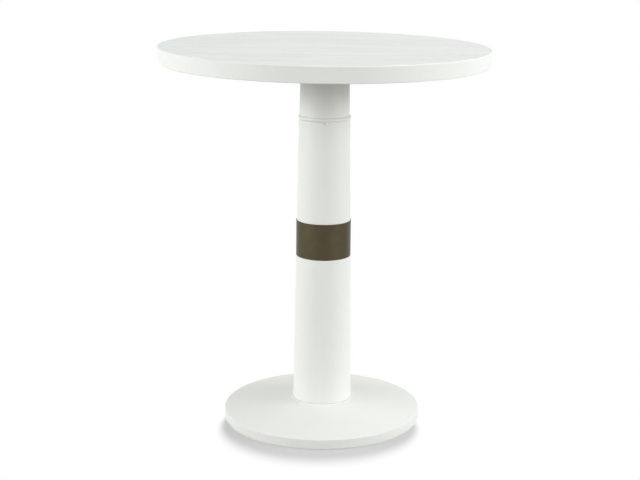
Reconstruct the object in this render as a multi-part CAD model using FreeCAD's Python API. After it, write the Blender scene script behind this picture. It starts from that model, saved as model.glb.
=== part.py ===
"""Round pub table: a turned wooden pedestal with a bronze band, a veneered top and a weighted base.

The table stands on the floor at z = 0, with its column on the Z axis and its front towards -Y.
Lengths are in millimetres.
"""
import FreeCAD, Part
import math
import os

# Driving sizes of the table top
top_diameter = 914.0            # 36 inch top
veneer_thickness = 1.0          # brushed oak face, and the plain sheet that balances it below
panel_thickness = 22.0
rim_height = 43.5               # deep edge ring that makes the thin panel look thick
rim_width = 50.0                # of the ring's underside
rim_inset = 5.0                 # lower edge of the rim stands in from its upper edge
rim_rebate = 23.0               # width of the step that carries the panel
rim_lower_round = 4.0
rim_inner_ease = 2.0
rim_arris = 1.0                 # sanded edge round the top, which carries on up the face veneer
cleat_diameter = 330.0
cleat_thickness = 25.0
cleat_bevel = 6.0

# Driving sizes of the column, from the foot upwards
column_foot_diameter = 166.0
column_top_diameter = 142.0
foot_ease = 1.0                 # small bevel where the column meets the base
joint_ease = 0.5                # bevel on the ends that meet the band
bead_joint_ease = 1.0           # bevel on the ends that meet the bead
lower_section_length = 419.5
band_height = 102.0             # 4 inch bronze sleeve
band_diameter = 154.0
band_wall = 2.0
band_edge_ease = 0.4
upper_section_length = 285.0
bead_height = 11.5
bead_diameter = 147.0
bead_bow = 3.5                  # how far the half-round face swells past its edges
neck_length = 138.5
neck_foot_diameter = 139.6
neck_top_diameter = 135.4
tenon_diameter = 80.0
tenon_length = 25.0
tenon_end_gap = 0.5             # glue space at the bottom of each socket
tenon_end_ease = 2.0

# Driving sizes of the base
base_diameter = 559.0           # 22 inch disc
floor_gap = 2.0                 # underside of the disc above the floor
base_edge_height = 28.5         # from the underside to the crease where the dome starts
base_height = 59.5              # from the underside to the seat of the column
base_crease_ease = 1.5
base_lower_round = 5.0
dome_bow = 2.0                  # rise of the dome over a straight cone, at its middle
seat_margin = 4.5               # flat ring left round the foot of the column
seat_step = 2.5                 # height of that ring over the dome
seat_ease = 0.8
ballast_diameter = 410.0
ballast_thickness = 8.0
ballast_inset = 1.0             # steel plate sits this far inside the underside
ballast_bevel = 1.0
ballast_gap = 1.0               # round the plate, in its recess
nut_recess_diameter = 48.0
base_web = 12.0                 # wood between the nut recess and the socket

# Driving sizes of the tie rod and its fasteners
rod_diameter = 12.0
rod_bore_diameter = 14.0
rod_end_length = 2.0            # thread that shows past each nut
rod_end_bevel = 1.0
nut_across_flats = 18.0
nut_height = 10.0
washer_diameter = 36.0
washer_thickness = 3.0
cleat_web = 9.0                 # wood under the upper washer

# Driving sizes of the screws, dowels and glides
cleat_screw_count = 8
cleat_screw_edge_distance = 30.0   # from the rim of the cleat to the middle of a screw
cleat_screw_diameter = 5.0
cleat_screw_length = 38.0
cleat_screw_head_diameter = 11.0
cleat_screw_head_height = 3.5
dowel_count = 4
dowel_edge_distance = 22.7      # from the face of the neck to the middle of a dowel
dowel_diameter = 10.0
dowel_length = 24.0
dowel_bevel = 1.0
grub_screw_diameter = 5.0
grub_screw_recess = 1.0         # of its end below the column's face
grub_screw_drop = 4.0           # below the bead
grub_screw_socket = 2.5         # across the flats of its key socket
grub_screw_socket_depth = 3.0
ballast_screw_count = 6
ballast_screw_edge_distance = 35.0
ballast_screw_diameter = 5.0
ballast_screw_length = 26.0
ballast_screw_head_diameter = 10.0
ballast_screw_head_height = 3.0
glide_count = 4
glide_place_share = 0.5         # of the way from the plate's recess to the edge of the base
glide_pad_diameter = 30.0
glide_pad_height = 6.0
glide_pad_ease = 1.5
glide_stem_diameter = 8.0
glide_stem_bevel = 1.0
glide_hex_across_flats = 13.0
glide_hex_height = 3.5
glide_travel = 12.0             # from screwed fully in to screwed fully out
thread_engagement = 10.0        # of a glide's stem in its insert, at full travel
insert_diameter = 13.0
insert_length = 17.0
insert_flange_diameter = 22.0
insert_flange_thickness = 1.5
pad_recess_gap = 1.5            # round the pad, in its recess

# Clearances
fit_gap = 0.1                   # radial, between a piece and the hole that holds it
thread_gap = 0.1                # radial, between a glide's stem and its insert
rest_gap = 0.3                  # between a glide's pad, screwed fully in, and its insert
drill_end_gap = 0.5             # past the end of what a blind hole holds
overrun = 1.0                   # of a cutting tool past the face that it starts from

# Heights of the faces where one piece rests on the next
base_bottom = floor_gap
base_top = base_bottom + base_height
lower_section_top = base_top + lower_section_length
band_top = lower_section_top + band_height
upper_section_top = band_top + upper_section_length
bead_top = upper_section_top + bead_height
neck_top = bead_top + neck_length
cleat_top = neck_top + cleat_thickness
panel_bottom = cleat_top + veneer_thickness
panel_top = panel_bottom + panel_thickness
table_top = panel_top + veneer_thickness

# Places that several pieces share
rim_bottom = panel_top - rim_height
rim_hole_radius = top_diameter / 2 - rim_inset - rim_width
panel_radius = rim_hole_radius + rim_rebate
socket_depth = tenon_length + tenon_end_gap
cleat_recess_bottom = neck_top + cleat_web
base_socket_bottom = base_top - socket_depth
nut_recess_top = base_socket_bottom - base_web
ballast_bottom = base_bottom + ballast_inset
ballast_top = ballast_bottom + ballast_thickness
insert_flange_bottom = glide_pad_height + rest_gap
pad_recess_top = insert_flange_bottom + insert_flange_thickness
glide_stem_top = insert_flange_bottom + glide_travel + thread_engagement
nut_recess_radius = nut_recess_diameter / 2
ballast_recess_radius = ballast_diameter / 2 + ballast_gap

# Circles that the screws, dowels and glides stand on
cleat_screw_circle = cleat_diameter - 2 * cleat_screw_edge_distance
dowel_circle = neck_top_diameter - 2 * dowel_edge_distance
ballast_screw_circle = ballast_diameter - 2 * ballast_screw_edge_distance
base_edge_width = base_diameter / 2 - ballast_recess_radius
glide_circle = 2 * (ballast_recess_radius + base_edge_width * glide_place_share)


def column_radius(height):
    """Radius of the tapered column at a height, from its foot to the bead."""
    rise_share = (height - base_top) / (upper_section_top - base_top)
    return (column_foot_diameter + (column_top_diameter - column_foot_diameter) * rise_share) / 2


def corner(radius, height, rounding=0, bevel=0, bow=0):
    """Corner of a turned outline: its place, how it is eased, and the bow of the side that leaves it."""
    return FreeCAD.Vector(radius, 0, height), rounding, bevel, bow


def eased(before, point, after, rounding, bevel):
    """Edges that ease a corner, with the point where they start and the one where they end."""
    if not rounding and not bevel:
        return point, point, []
    back = (before - point).normalize()
    ahead = (after - point).normalize()
    if bevel:
        start = point + back * bevel
        end = point + ahead * bevel
        return start, end, [Part.LineSegment(start, end).toShape()]
    half_angle = back.getAngle(ahead) / 2
    reach = rounding / math.tan(half_angle)
    inwards = (back + ahead).normalize()
    middle = point + inwards * (rounding / math.sin(half_angle) - rounding)
    start = point + back * reach
    end = point + ahead * reach
    return start, end, [Part.Arc(start, middle, end).toShape()]


def turned(corners):
    """Solid turned about the Z axis from its corners, which run outwards along the bottom and up."""
    points = [place for place, rounding, bevel, bow in corners]
    ends = []
    for index, (place, rounding, bevel, bow) in enumerate(corners):
        before = points[index - 1]
        after = points[(index + 1) % len(points)]
        ends.append(eased(before, place, after, rounding, bevel))
    edges = []
    for index, (start, end, easing) in enumerate(ends):
        edges.extend(easing)
        following = ends[(index + 1) % len(ends)][0]
        bow = corners[index][3]
        if bow:
            run = following - end
            outwards = FreeCAD.Vector(run.z, 0, -run.x).normalize()
            edges.append(Part.Arc(end, (end + following) / 2 + outwards * bow, following).toShape())
        else:
            edges.append(Part.LineSegment(end, following).toShape())
    face = Part.Face(Part.Wire(edges))
    solid = face.revolve(FreeCAD.Vector(0, 0, 0), FreeCAD.Vector(0, 0, 1), 360)
    return solid if solid.Volume > 0 else solid.reversed()


def drum(diameter, bottom, top, bevel=0):
    """Plain turned cylinder with the same bevel at both ends."""
    radius = diameter / 2
    return turned([
        corner(0, bottom), corner(radius, bottom, bevel=bevel),
        corner(radius, top, bevel=bevel), corner(0, top),
    ])


def hexagon(across_flats, bottom, top):
    """Hexagonal prism on the Z axis."""
    sides = 6
    corner_radius = across_flats / 2 / math.cos(math.pi / sides)
    corners = []
    for index in range(sides + 1):
        angle = 2 * math.pi * index / sides
        place = FreeCAD.Vector(math.cos(angle), math.sin(angle), 0) * corner_radius
        corners.append(place + FreeCAD.Vector(0, 0, bottom))
    return Part.Face(Part.makePolygon(corners)).extrude(FreeCAD.Vector(0, 0, top - bottom))


def around(shape, count, circle, start_angle=0):
    """Copies of a shape, evenly spaced on a circle about the Z axis."""
    copies = []
    for index in range(count):
        angle = start_angle + 2 * math.pi * index / count
        copies.append(shape.translated(FreeCAD.Vector(math.cos(angle), math.sin(angle), 0) * (circle / 2)))
    return copies


def save(name, shape):
    """Write one piece, or a group of like pieces, to its own file."""
    solids = shape if isinstance(shape, list) else [shape]
    whole = Part.makeCompound(solids) if len(solids) > 1 else solids[0]
    whole.exportStep(os.path.join("parts", name + ".step"))
    print(name, len(solids), round(sum(solid.Volume for solid in solids)), whole.isValid())


def face_veneer():
    """Brushed oak sheet that covers the panel and its edge ring."""
    radius = top_diameter / 2 - rim_arris
    return turned([
        corner(0, panel_top), corner(radius, panel_top),
        corner(radius - veneer_thickness, table_top), corner(0, table_top),
    ])


def top_panel():
    """Flat round panel that lies in the rebate of the edge ring, drilled for the cleat's screws."""
    panel = drum(2 * (panel_radius - fit_gap), panel_bottom, panel_top)
    hole_top = neck_top + cleat_screw_length + drill_end_gap
    hole = drum(cleat_screw_diameter + 2 * fit_gap, panel_bottom - overrun, hole_top)
    return panel.cut(around(hole, cleat_screw_count, cleat_screw_circle))


def top_rim():
    """Deep edge ring, with its outer face leaning inwards downwards and a rebate for the panel."""
    outer = top_diameter / 2
    return turned([
        corner(rim_hole_radius, rim_bottom, bevel=rim_inner_ease),
        corner(outer - rim_inset, rim_bottom, rounding=rim_lower_round),
        corner(outer, panel_top, bevel=rim_arris),
        corner(panel_radius, panel_top),
        corner(panel_radius, panel_bottom),
        corner(rim_hole_radius, panel_bottom),
    ])


def under_veneer():
    """Balancing sheet under the panel, drilled for the cleat's screws."""
    sheet = drum(2 * (rim_hole_radius - fit_gap), cleat_top, panel_bottom)
    hole = drum(cleat_screw_diameter + 2 * fit_gap, cleat_top - overrun, panel_bottom + overrun)
    return sheet.cut(around(hole, cleat_screw_count, cleat_screw_circle))


def cleat():
    """Round plywood block that joins the column to the top, recessed above for the upper nut."""
    radius = cleat_diameter / 2
    bore = rod_bore_diameter / 2
    block = turned([
        corner(bore, neck_top), corner(radius, neck_top, bevel=cleat_bevel),
        corner(radius, cleat_top), corner(nut_recess_radius, cleat_top),
        corner(nut_recess_radius, cleat_recess_bottom), corner(bore, cleat_recess_bottom),
    ])
    screw_hole = drum(cleat_screw_diameter + 2 * fit_gap, neck_top - overrun, cleat_top + overrun)
    dowel_hole = drum(dowel_diameter + 2 * fit_gap, neck_top - overrun, neck_top + dowel_reach())
    holes = around(screw_hole, cleat_screw_count, cleat_screw_circle)
    return block.cut(holes + around(dowel_hole, dowel_count, dowel_circle, math.pi / 4))


def dowel_reach():
    """Depth of a dowel's hole on each side of the joint under the cleat."""
    return dowel_length / 2 + drill_end_gap


def cleat_screws():
    """Pan head screws driven up through the cleat into the panel."""
    head = cleat_screw_head_diameter / 2
    shank = cleat_screw_diameter / 2
    head_bottom = neck_top - cleat_screw_head_height
    point_top = neck_top + cleat_screw_length
    screw = turned([
        corner(0, head_bottom), corner(head, head_bottom, bevel=cleat_screw_head_height / 2),
        corner(head, neck_top), corner(shank, neck_top),
        corner(shank, point_top - cleat_screw_diameter), corner(0, point_top),
    ])
    return around(screw, cleat_screw_count, cleat_screw_circle)


def neck_dowels():
    """Beech dowels that key the neck to the cleat."""
    dowel = drum(dowel_diameter, neck_top - dowel_length / 2, neck_top + dowel_length / 2, dowel_bevel)
    return around(dowel, dowel_count, dowel_circle, math.pi / 4)


def neck():
    """Short top section, slimmer than the column, with a tenon down through the bead."""
    bore = rod_bore_diameter / 2
    tenon = tenon_diameter / 2
    tenon_bottom = upper_section_top - tenon_length
    body = turned([
        corner(bore, tenon_bottom), corner(tenon, tenon_bottom, bevel=tenon_end_ease),
        corner(tenon, bead_top), corner(neck_foot_diameter / 2, bead_top, bevel=bead_joint_ease),
        corner(neck_top_diameter / 2, neck_top), corner(bore, neck_top),
    ])
    dowel_hole = drum(dowel_diameter + 2 * fit_gap, neck_top - dowel_reach(), neck_top + overrun)
    return body.cut(around(dowel_hole, dowel_count, dowel_circle, math.pi / 4))


def bead_ring():
    """Turned half-round ring held between the neck and the upper section."""
    inner = tenon_diameter / 2 + fit_gap
    outer = bead_diameter / 2 - bead_bow
    return turned([
        corner(inner, upper_section_top), corner(outer, upper_section_top, bow=bead_bow),
        corner(outer, bead_top), corner(inner, bead_top),
    ])


def grub_screw_axis_height():
    """Height of the grub screw that locks the neck's tenon."""
    return upper_section_top - grub_screw_drop


def laid_to_front(shape):
    """A shape on the Z axis, laid along the front radius at the grub screw's height."""
    placed = shape.copy()
    placed.rotate(FreeCAD.Vector(0, 0, 0), FreeCAD.Vector(1, 0, 0), 90)
    placed.translate(FreeCAD.Vector(0, 0, grub_screw_axis_height()))
    return placed


def neck_grub_screw():
    """Socket grub screw that bears on the neck's tenon and ends just below the column's face."""
    inner = tenon_diameter / 2
    outer = column_radius(grub_screw_axis_height()) - grub_screw_recess
    screw = drum(grub_screw_diameter, inner, outer, grub_screw_diameter / 8)
    socket = hexagon(grub_screw_socket, outer - grub_screw_socket_depth, outer + overrun)
    return laid_to_front(screw.cut(socket))


def upper_column():
    """Upper tapered section, with a socket for the neck above and one for the band's core below."""
    bore = rod_bore_diameter / 2
    socket = tenon_diameter / 2 + fit_gap
    foot = column_radius(band_top)
    head = column_radius(upper_section_top)
    body = turned([
        corner(socket, band_top),
        corner(foot, band_top, bevel=joint_ease),
        corner(head, upper_section_top, bevel=bead_joint_ease),
        corner(socket, upper_section_top),
        corner(socket, upper_section_top - socket_depth),
        corner(bore, upper_section_top - socket_depth),
        corner(bore, band_top + socket_depth),
        corner(socket, band_top + socket_depth),
    ])
    screw_hole = drum(grub_screw_diameter + 2 * fit_gap, tenon_diameter / 2, column_foot_diameter)
    return body.cut(laid_to_front(screw_hole))


def band_core():
    """Turned drum inside the bronze band, with a tenon at each end."""
    bore = rod_bore_diameter / 2
    tenon = tenon_diameter / 2
    drum_radius = band_diameter / 2 - band_wall - fit_gap
    low_end = lower_section_top - tenon_length
    high_end = band_top + tenon_length
    return turned([
        corner(bore, low_end), corner(tenon, low_end, bevel=tenon_end_ease),
        corner(tenon, lower_section_top), corner(drum_radius, lower_section_top),
        corner(drum_radius, band_top), corner(tenon, band_top),
        corner(tenon, high_end, bevel=tenon_end_ease), corner(bore, high_end),
    ])


def bronze_band():
    """Straight bronze sleeve, held between the two sections of the column."""
    outer = band_diameter / 2
    inner = outer - band_wall
    return turned([
        corner(inner, lower_section_top), corner(outer, lower_section_top, bevel=band_edge_ease),
        corner(outer, band_top, bevel=band_edge_ease), corner(inner, band_top),
    ])


def lower_column():
    """Lower tapered section, with a tenon into the base and a socket for the band's core."""
    bore = rod_bore_diameter / 2
    tenon = tenon_diameter / 2
    socket = tenon + fit_gap
    foot = column_radius(base_top)
    head = column_radius(lower_section_top)
    tenon_bottom = base_top - tenon_length
    socket_bottom = lower_section_top - socket_depth
    return turned([
        corner(bore, tenon_bottom), corner(tenon, tenon_bottom, bevel=tenon_end_ease),
        corner(tenon, base_top), corner(foot, base_top, bevel=foot_ease),
        corner(head, lower_section_top, bevel=joint_ease), corner(socket, lower_section_top),
        corner(socket, socket_bottom), corner(bore, socket_bottom),
    ])


def tie_rod():
    """Steel rod that clamps the column between the cleat and the base."""
    low_end = nut_recess_top - washer_thickness - nut_height - rod_end_length
    high_end = cleat_recess_bottom + washer_thickness + nut_height + rod_end_length
    return drum(rod_diameter, low_end, high_end, rod_end_bevel)


def rod_nuts():
    """Hexagonal nuts at the two ends of the tie rod."""
    bore_diameter = rod_diameter + 2 * fit_gap
    nuts = []
    for bottom in (nut_recess_top - washer_thickness - nut_height, cleat_recess_bottom + washer_thickness):
        nut = hexagon(nut_across_flats, bottom, bottom + nut_height)
        nuts.append(nut.cut(drum(bore_diameter, bottom - overrun, bottom + nut_height + overrun)))
    return nuts


def rod_washers():
    """Wide washers that spread the pull of the tie rod."""
    inner = rod_diameter / 2 + fit_gap
    outer = washer_diameter / 2
    washers = []
    for bottom in (nut_recess_top - washer_thickness, cleat_recess_bottom):
        top = bottom + washer_thickness
        washers.append(turned([
            corner(inner, bottom), corner(outer, bottom), corner(outer, top), corner(inner, top),
        ]))
    return washers


def base_disc():
    """Turned base: a crisp edge, a shallow dome and a seat for the column, hollowed from below."""
    bore = rod_bore_diameter / 2
    socket = tenon_diameter / 2 + fit_gap
    edge = base_diameter / 2
    seat = column_foot_diameter / 2 + seat_margin
    crease_height = base_bottom + base_edge_height
    disc = turned([
        corner(ballast_recess_radius, base_bottom),
        corner(edge, base_bottom, rounding=base_lower_round),
        corner(edge, crease_height, bevel=base_crease_ease, bow=dome_bow),
        corner(seat, base_top - seat_step),
        corner(seat, base_top, bevel=seat_ease),
        corner(socket, base_top),
        corner(socket, base_socket_bottom),
        corner(bore, base_socket_bottom),
        corner(bore, nut_recess_top),
        corner(nut_recess_radius, nut_recess_top),
        corner(nut_recess_radius, ballast_top),
        corner(ballast_recess_radius, ballast_top),
    ])
    pad_hole = drum(glide_pad_diameter + 2 * pad_recess_gap, base_bottom - overrun, pad_recess_top)
    insert_hole = drum(insert_diameter + 2 * fit_gap, base_bottom, pad_recess_top + insert_length)
    stem_hole = drum(glide_stem_diameter + 2 * drill_end_gap, base_bottom, glide_stem_top + drill_end_gap)
    glide_hole = pad_hole.fuse([insert_hole, stem_hole])
    screw_top = ballast_bottom + ballast_screw_length + drill_end_gap
    screw_hole = drum(ballast_screw_diameter + 2 * fit_gap, base_bottom, screw_top)
    holes = around(glide_hole, glide_count, glide_circle, math.pi / 4)
    return disc.cut(holes + around(screw_hole, ballast_screw_count, ballast_screw_circle))


def ballast_screw(gap):
    """Countersunk screw, pointing up, or with a gap the hole that takes it."""
    head = ballast_screw_head_diameter / 2 + gap
    shank = ballast_screw_diameter / 2 + gap
    neck_height = ballast_bottom + ballast_screw_head_height
    point_top = ballast_bottom + ballast_screw_length
    return turned([
        corner(0, ballast_bottom), corner(head, ballast_bottom), corner(shank, neck_height),
        corner(shank, point_top - ballast_screw_diameter), corner(0, point_top),
    ])


def ballast_plate():
    """Steel disc that keeps the tall table steady, let into the underside of the base."""
    outer = ballast_diameter / 2
    plate = turned([
        corner(nut_recess_radius, ballast_bottom), corner(outer, ballast_bottom, bevel=ballast_bevel),
        corner(outer, ballast_top), corner(nut_recess_radius, ballast_top),
    ])
    return plate.cut(around(ballast_screw(fit_gap), ballast_screw_count, ballast_screw_circle))


def ballast_screws():
    """Countersunk screws that hold the steel disc to the wood."""
    return around(ballast_screw(0), ballast_screw_count, ballast_screw_circle)


def glide_inserts():
    """Flanged threaded inserts pressed into the base, one over each glide."""
    bore = glide_stem_diameter / 2 + thread_gap
    flange = insert_flange_diameter / 2
    body = insert_diameter / 2
    top = pad_recess_top + insert_length
    insert = turned([
        corner(bore, insert_flange_bottom), corner(flange, insert_flange_bottom),
        corner(flange, pad_recess_top), corner(body, pad_recess_top),
        corner(body, top), corner(bore, top),
    ])
    return around(insert, glide_count, glide_circle, math.pi / 4)


def glide_stem():
    """Threaded stem of a levelling glide, with the hexagon that its pad is moulded round."""
    radius = glide_stem_diameter / 2
    shank = turned([
        corner(0, glide_pad_height), corner(radius, glide_pad_height),
        corner(radius, glide_stem_top, bevel=glide_stem_bevel), corner(0, glide_stem_top),
    ])
    return shank.fuse(hexagon(glide_hex_across_flats, glide_pad_height - glide_hex_height, glide_pad_height))


def glide_pad():
    """Moulded pad of a levelling glide, which carries the table on the floor."""
    radius = glide_pad_diameter / 2
    pad = turned([
        corner(0, 0), corner(radius, 0, bevel=glide_pad_ease),
        corner(radius, glide_pad_height, bevel=glide_pad_ease / 2), corner(0, glide_pad_height),
    ])
    socket_flats = glide_hex_across_flats + 2 * fit_gap
    return pad.cut(hexagon(socket_flats, glide_pad_height - glide_hex_height, glide_pad_height + overrun))


def main():
    os.makedirs("parts", exist_ok=True)
    pieces = (
        face_veneer, top_panel, top_rim, under_veneer, cleat, cleat_screws, neck_dowels, neck,
        bead_ring, neck_grub_screw, upper_column, band_core, bronze_band, lower_column, tie_rod,
        rod_nuts, rod_washers, base_disc, ballast_plate, ballast_screws, glide_inserts,
    )
    for piece in pieces:
        save(piece.__name__, piece())
    stems = around(glide_stem(), glide_count, glide_circle, math.pi / 4)
    pads = around(glide_pad(), glide_count, glide_circle, math.pi / 4)
    for number, (stem, pad) in enumerate(zip(stems, pads), 1):
        save("glide_stem_%d" % number, stem)
        save("glide_pad_%d" % number, pad)
    print("height of the table", table_top)


main()
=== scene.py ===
"""Round pub table: limed oak top, white lacquered edge ring and pedestal, dark bronze band.

Run as a script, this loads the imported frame, makes every piece round it, and sets the stage.
Lengths are in metres. The table stands on the floor at z = 0, with its front towards -Y.
"""

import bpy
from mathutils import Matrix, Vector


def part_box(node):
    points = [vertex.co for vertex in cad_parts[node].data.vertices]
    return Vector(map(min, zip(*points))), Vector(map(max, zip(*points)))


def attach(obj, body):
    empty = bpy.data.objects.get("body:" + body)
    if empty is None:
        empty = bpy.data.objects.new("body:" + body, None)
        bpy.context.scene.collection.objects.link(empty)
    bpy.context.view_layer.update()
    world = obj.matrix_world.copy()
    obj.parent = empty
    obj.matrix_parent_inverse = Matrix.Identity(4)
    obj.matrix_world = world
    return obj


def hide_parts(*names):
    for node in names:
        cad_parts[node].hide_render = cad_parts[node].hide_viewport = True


bl_info = {
    "name": "Round Pub Table",
    "version": (1, 0, 0),
    "blender": (4, 5, 0),
    "location": "3D View > Sidebar > Pub Table",
    "description": "Makes the pieces and finishes of a round pedestal pub table",
    "category": "Object",
}

import math

import bmesh
import bpy
from bpy.props import FloatProperty, FloatVectorProperty, IntProperty, PointerProperty
from mathutils import Matrix, Vector

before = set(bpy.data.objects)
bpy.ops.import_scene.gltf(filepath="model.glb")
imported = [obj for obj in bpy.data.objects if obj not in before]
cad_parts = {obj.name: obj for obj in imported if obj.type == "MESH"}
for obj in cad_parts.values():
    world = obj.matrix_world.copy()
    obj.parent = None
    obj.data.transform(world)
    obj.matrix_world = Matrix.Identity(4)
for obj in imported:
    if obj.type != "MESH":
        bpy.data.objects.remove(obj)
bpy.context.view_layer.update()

MM = 0.001
TABLE = "table"                 # body that every fixed piece rides on
GLIDES = (1, 2, 3, 4)

ROUND_STEPS = 5                 # edges along a rounded corner
BOW_STEPS = 20                  # edges along a bowed side
HOLD_SHARE = 0.35               # edge that keeps the shading flat beside a rounded corner
MERGE_DISTANCE = 0.001 * MM
SHARP_ANGLE = math.radians(32)
GUIDE_RADIUS = 0.1              # of the circle that carries an outline round the lathe
TURNED_SEGMENTS = 192
TOP_SEGMENTS = 288
HOLE_SEGMENTS = 48
SCREW_SEGMENTS = 32
FLUTE_SIDES = 12

OVERRUN = 1 * MM                # of a cutter past the face that it starts from
FIT_GAP = 0.1 * MM              # radial, between a piece and the hole that holds it
CLEAT_SCREWS = 8
NECK_DOWELS = 4
BALLAST_SCREWS = 6
QUARTER_START = math.radians(45)
THREAD_STEPS = 8                # rings of points in one turn of a thread
THREAD_SHARE = 0.45             # depth of a thread over its pitch
MACHINE_CORE = 0.9              # share of the radius within which a machine thread moves no point
WOOD_CORE = 0.4                 # and within which a wood screw's thread, which runs on to its point
CLEAT_SEED = 3                  # of the angles at which the screws stopped
BALLAST_SEED = 7
DRIVER_SHARES = 0.2, 0.5        # arm width and depth of a screw's cross recess over its head's radius
PAN_DRIVER = 0.85               # and span of the recess in a pan head
SUNK_DRIVER = 0.9               # and in a countersunk head
DRIVER_TAPER = 0.5              # width of the recess at its bottom over its width at the face

OAK = "Limed brushed oak veneer"
RING_LACQUER = "White lacquer on the edge ring"
COLUMN_LACQUER = "White lacquer on the column"
BRONZE = "Waxed dark bronze"
PLYWOOD = "Sealed birch plywood"
BACKING = "Sealed oak backing"
CORE_BOARD = "Fibre core board"
BEECH = "Bare beech"
ZINC = "Zinc plated steel"
POWDER_COAT = "Black powder coat"
NYLON = "Moulded black nylon"
LATHE = "Turn on the lathe"
RING = "Set in a ring"
THREAD = "Roll a thread"
NOISE_RANGE = {"From Min": 0.3, "From Max": 0.7}    # that a noise keeps within, almost everywhere

FLOOR_SIZE = 30.0
PAINTED_SHADOW_CORE = (-6 * MM, -81 * MM, 0), (265 * MM, 229 * MM, 1)     # middle and radii of the painted full shadow, an oval drawn in the floor's paper
PAINTED_SHADOW_END = (-8 * MM, -119 * MM, 0), (292 * MM, 298 * MM, 1)     # and of the painted oval where it has run out
LEAST_BORDER = 0.01             # between the two, as a share of their radii
PAPER_PAINTED_LIGHT = 0.35               # painted light: share of white emission in the seen paper, which lifts its deepest shadow and keeps it soft
GAP_PAINTED_LIGHT = 0.55                 # more painted light, the same way, in the low gap under the base
GAP_EDGES = -3 * MM, 1 * MM     # past the base's edge, where the gap's painted light turns into the paper's
AIM = Vector((0, 0, 0.55))      # point that every softbox faces
SIDE_BOX = 4.8, 1.9             # width across and height up of a softbox
OVERHEAD_BOX = 4.2, 4.2


def span(node):
    """Heights of a node's lowest and highest points."""
    corner_low, corner_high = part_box(node)
    return corner_low.z, corner_high.z


def low(node):
    """Height of a node's lowest point."""
    return span(node)[0]


def high(node):
    """Height of a node's highest point."""
    return span(node)[1]


def reach(node):
    """Outer radius of a node that is turned about the Z axis."""
    corner_low, corner_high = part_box(node)
    return max(corner_high.x, corner_high.y, -corner_low.x, -corner_low.y)


def middle(node):
    """Middle of a node's box, on the floor."""
    centre = sum(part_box(node), Vector()) / 2
    return Vector((centre.x, centre.y, 0))


def width(node):
    """Size of a node across the X axis."""
    corner_low, corner_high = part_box(node)
    return corner_high.x - corner_low.x


def linear(code):
    """Linear colour of an sRGB hex value."""
    channels = [int(code[start:start + 2], 16) / 255 for start in (1, 3, 5)]
    return [value / 12.92 if value <= 0.04045 else ((value + 0.055) / 1.055) ** 2.4 for value in channels]


def length(name, description, default):
    """Property that holds a length."""
    return FloatProperty(
        name=name, description=description, default=default, min=0, unit="LENGTH", subtype="DISTANCE")


def lean(name, description, degrees):
    """Property that holds an angle."""
    return FloatProperty(
        name=name, description=description, default=math.radians(degrees), subtype="ANGLE")


def power(name, description, watts):
    """Property that holds a lamp's power."""
    return FloatProperty(name=name, description=description, default=watts, min=0, unit="POWER")


def paint(name, description, code):
    """Property that holds a colour, given as an sRGB hex value."""
    return FloatVectorProperty(
        name=name, description=description, default=linear(code), min=0, max=1, size=3, subtype="COLOR")


def feed(tree, node, inputs):
    """Give a node's inputs their values, or links from a socket or from a node's first live output."""
    for key, value in inputs.items():
        if isinstance(value, bpy.types.Node):
            value = next(socket for socket in value.outputs if socket.enabled)
        if isinstance(value, bpy.types.NodeSocket):
            tree.links.new(value, node.inputs[key])
        else:
            node.inputs[key].default_value = value


def add(tree, kind, inputs=None, **settings):
    """Add a node to a tree, set it up, and feed its inputs."""
    node = tree.nodes.new(kind)
    for name, value in settings.items():
        setattr(node, name, value)
    feed(tree, node, inputs or {})
    return node


# Outlines of turned pieces

def corner(radius, height, rounding=0, bow=0):
    """Corner of a turned outline: its place, its rounding, and the bow of the side that leaves it."""
    return Vector((radius, height)), rounding, bow


def eased(before, place, after, rounding):
    """Points that round a corner, with one more on each side that keeps the sides' shading straight."""
    if not rounding:
        return [place]
    back = (before - place).normalized()
    ahead = (after - place).normalized()
    half_angle = back.angle(ahead) / 2
    tangent = rounding / math.tan(half_angle)
    centre = place + (back + ahead).normalized() * (rounding / math.sin(half_angle))
    first = (place + back * tangent - centre).normalized()
    last = (place + ahead * tangent - centre).normalized()
    arc = [centre + first.slerp(last, step / ROUND_STEPS) * rounding for step in range(ROUND_STEPS + 1)]
    hold = tangent * HOLD_SHARE
    return [arc[0] + back * hold] + arc + [arc[-1] + ahead * hold]


def bowed(start, end, bow):
    """Points inside an arc that swells outwards by the bow from the straight side."""
    run = end - start
    along = run.normalized()
    outwards = Vector((run.y, -run.x)).normalized()
    half_angle = 2 * math.atan(2 * bow / run.length)
    radius = run.length / 2 / math.sin(half_angle)
    centre = (start + end) / 2 - outwards * (radius - bow)
    points = []
    for step in range(1, BOW_STEPS):
        angle = half_angle * (2 * step / BOW_STEPS - 1)
        points.append(centre + (outwards * math.cos(angle) + along * math.sin(angle)) * radius)
    return points


def outline(corners):
    """Points of a turned outline, which runs outwards along the bottom and up."""
    places = [place for place, rounding, bow in corners]
    stretches = []
    for index, (place, rounding, bow) in enumerate(corners):
        stretches.append(eased(places[index - 1], place, places[(index + 1) % len(places)], rounding))
    points = []
    for index, stretch in enumerate(stretches):
        points.extend(stretch)
        bow = corners[index][2]
        if bow:
            points.extend(bowed(stretch[-1], stretches[(index + 1) % len(stretches)][0], bow))
    return points


def shaft(radius, bottom, top, pitch):
    """Corners up a straight shaft, close enough together to take a thread."""
    steps = round((top - bottom) / pitch * THREAD_STEPS)
    return [corner(radius, bottom + (top - bottom) * step / steps) for step in range(steps + 1)]


# Node trees that make shapes

def shape_tree(name, sockets):
    """New geometry node tree with its inputs and its output, and the sockets that give the inputs."""
    tree = bpy.data.node_groups.new(name, "GeometryNodeTree")
    tree.is_modifier = True
    for label, kind in sockets:
        tree.interface.new_socket(label, in_out="INPUT", socket_type="NodeSocket" + kind)
    tree.interface.new_socket("Geometry", in_out="OUTPUT", socket_type="NodeSocketGeometry")
    return tree, add(tree, "NodeGroupInput").outputs


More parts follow.
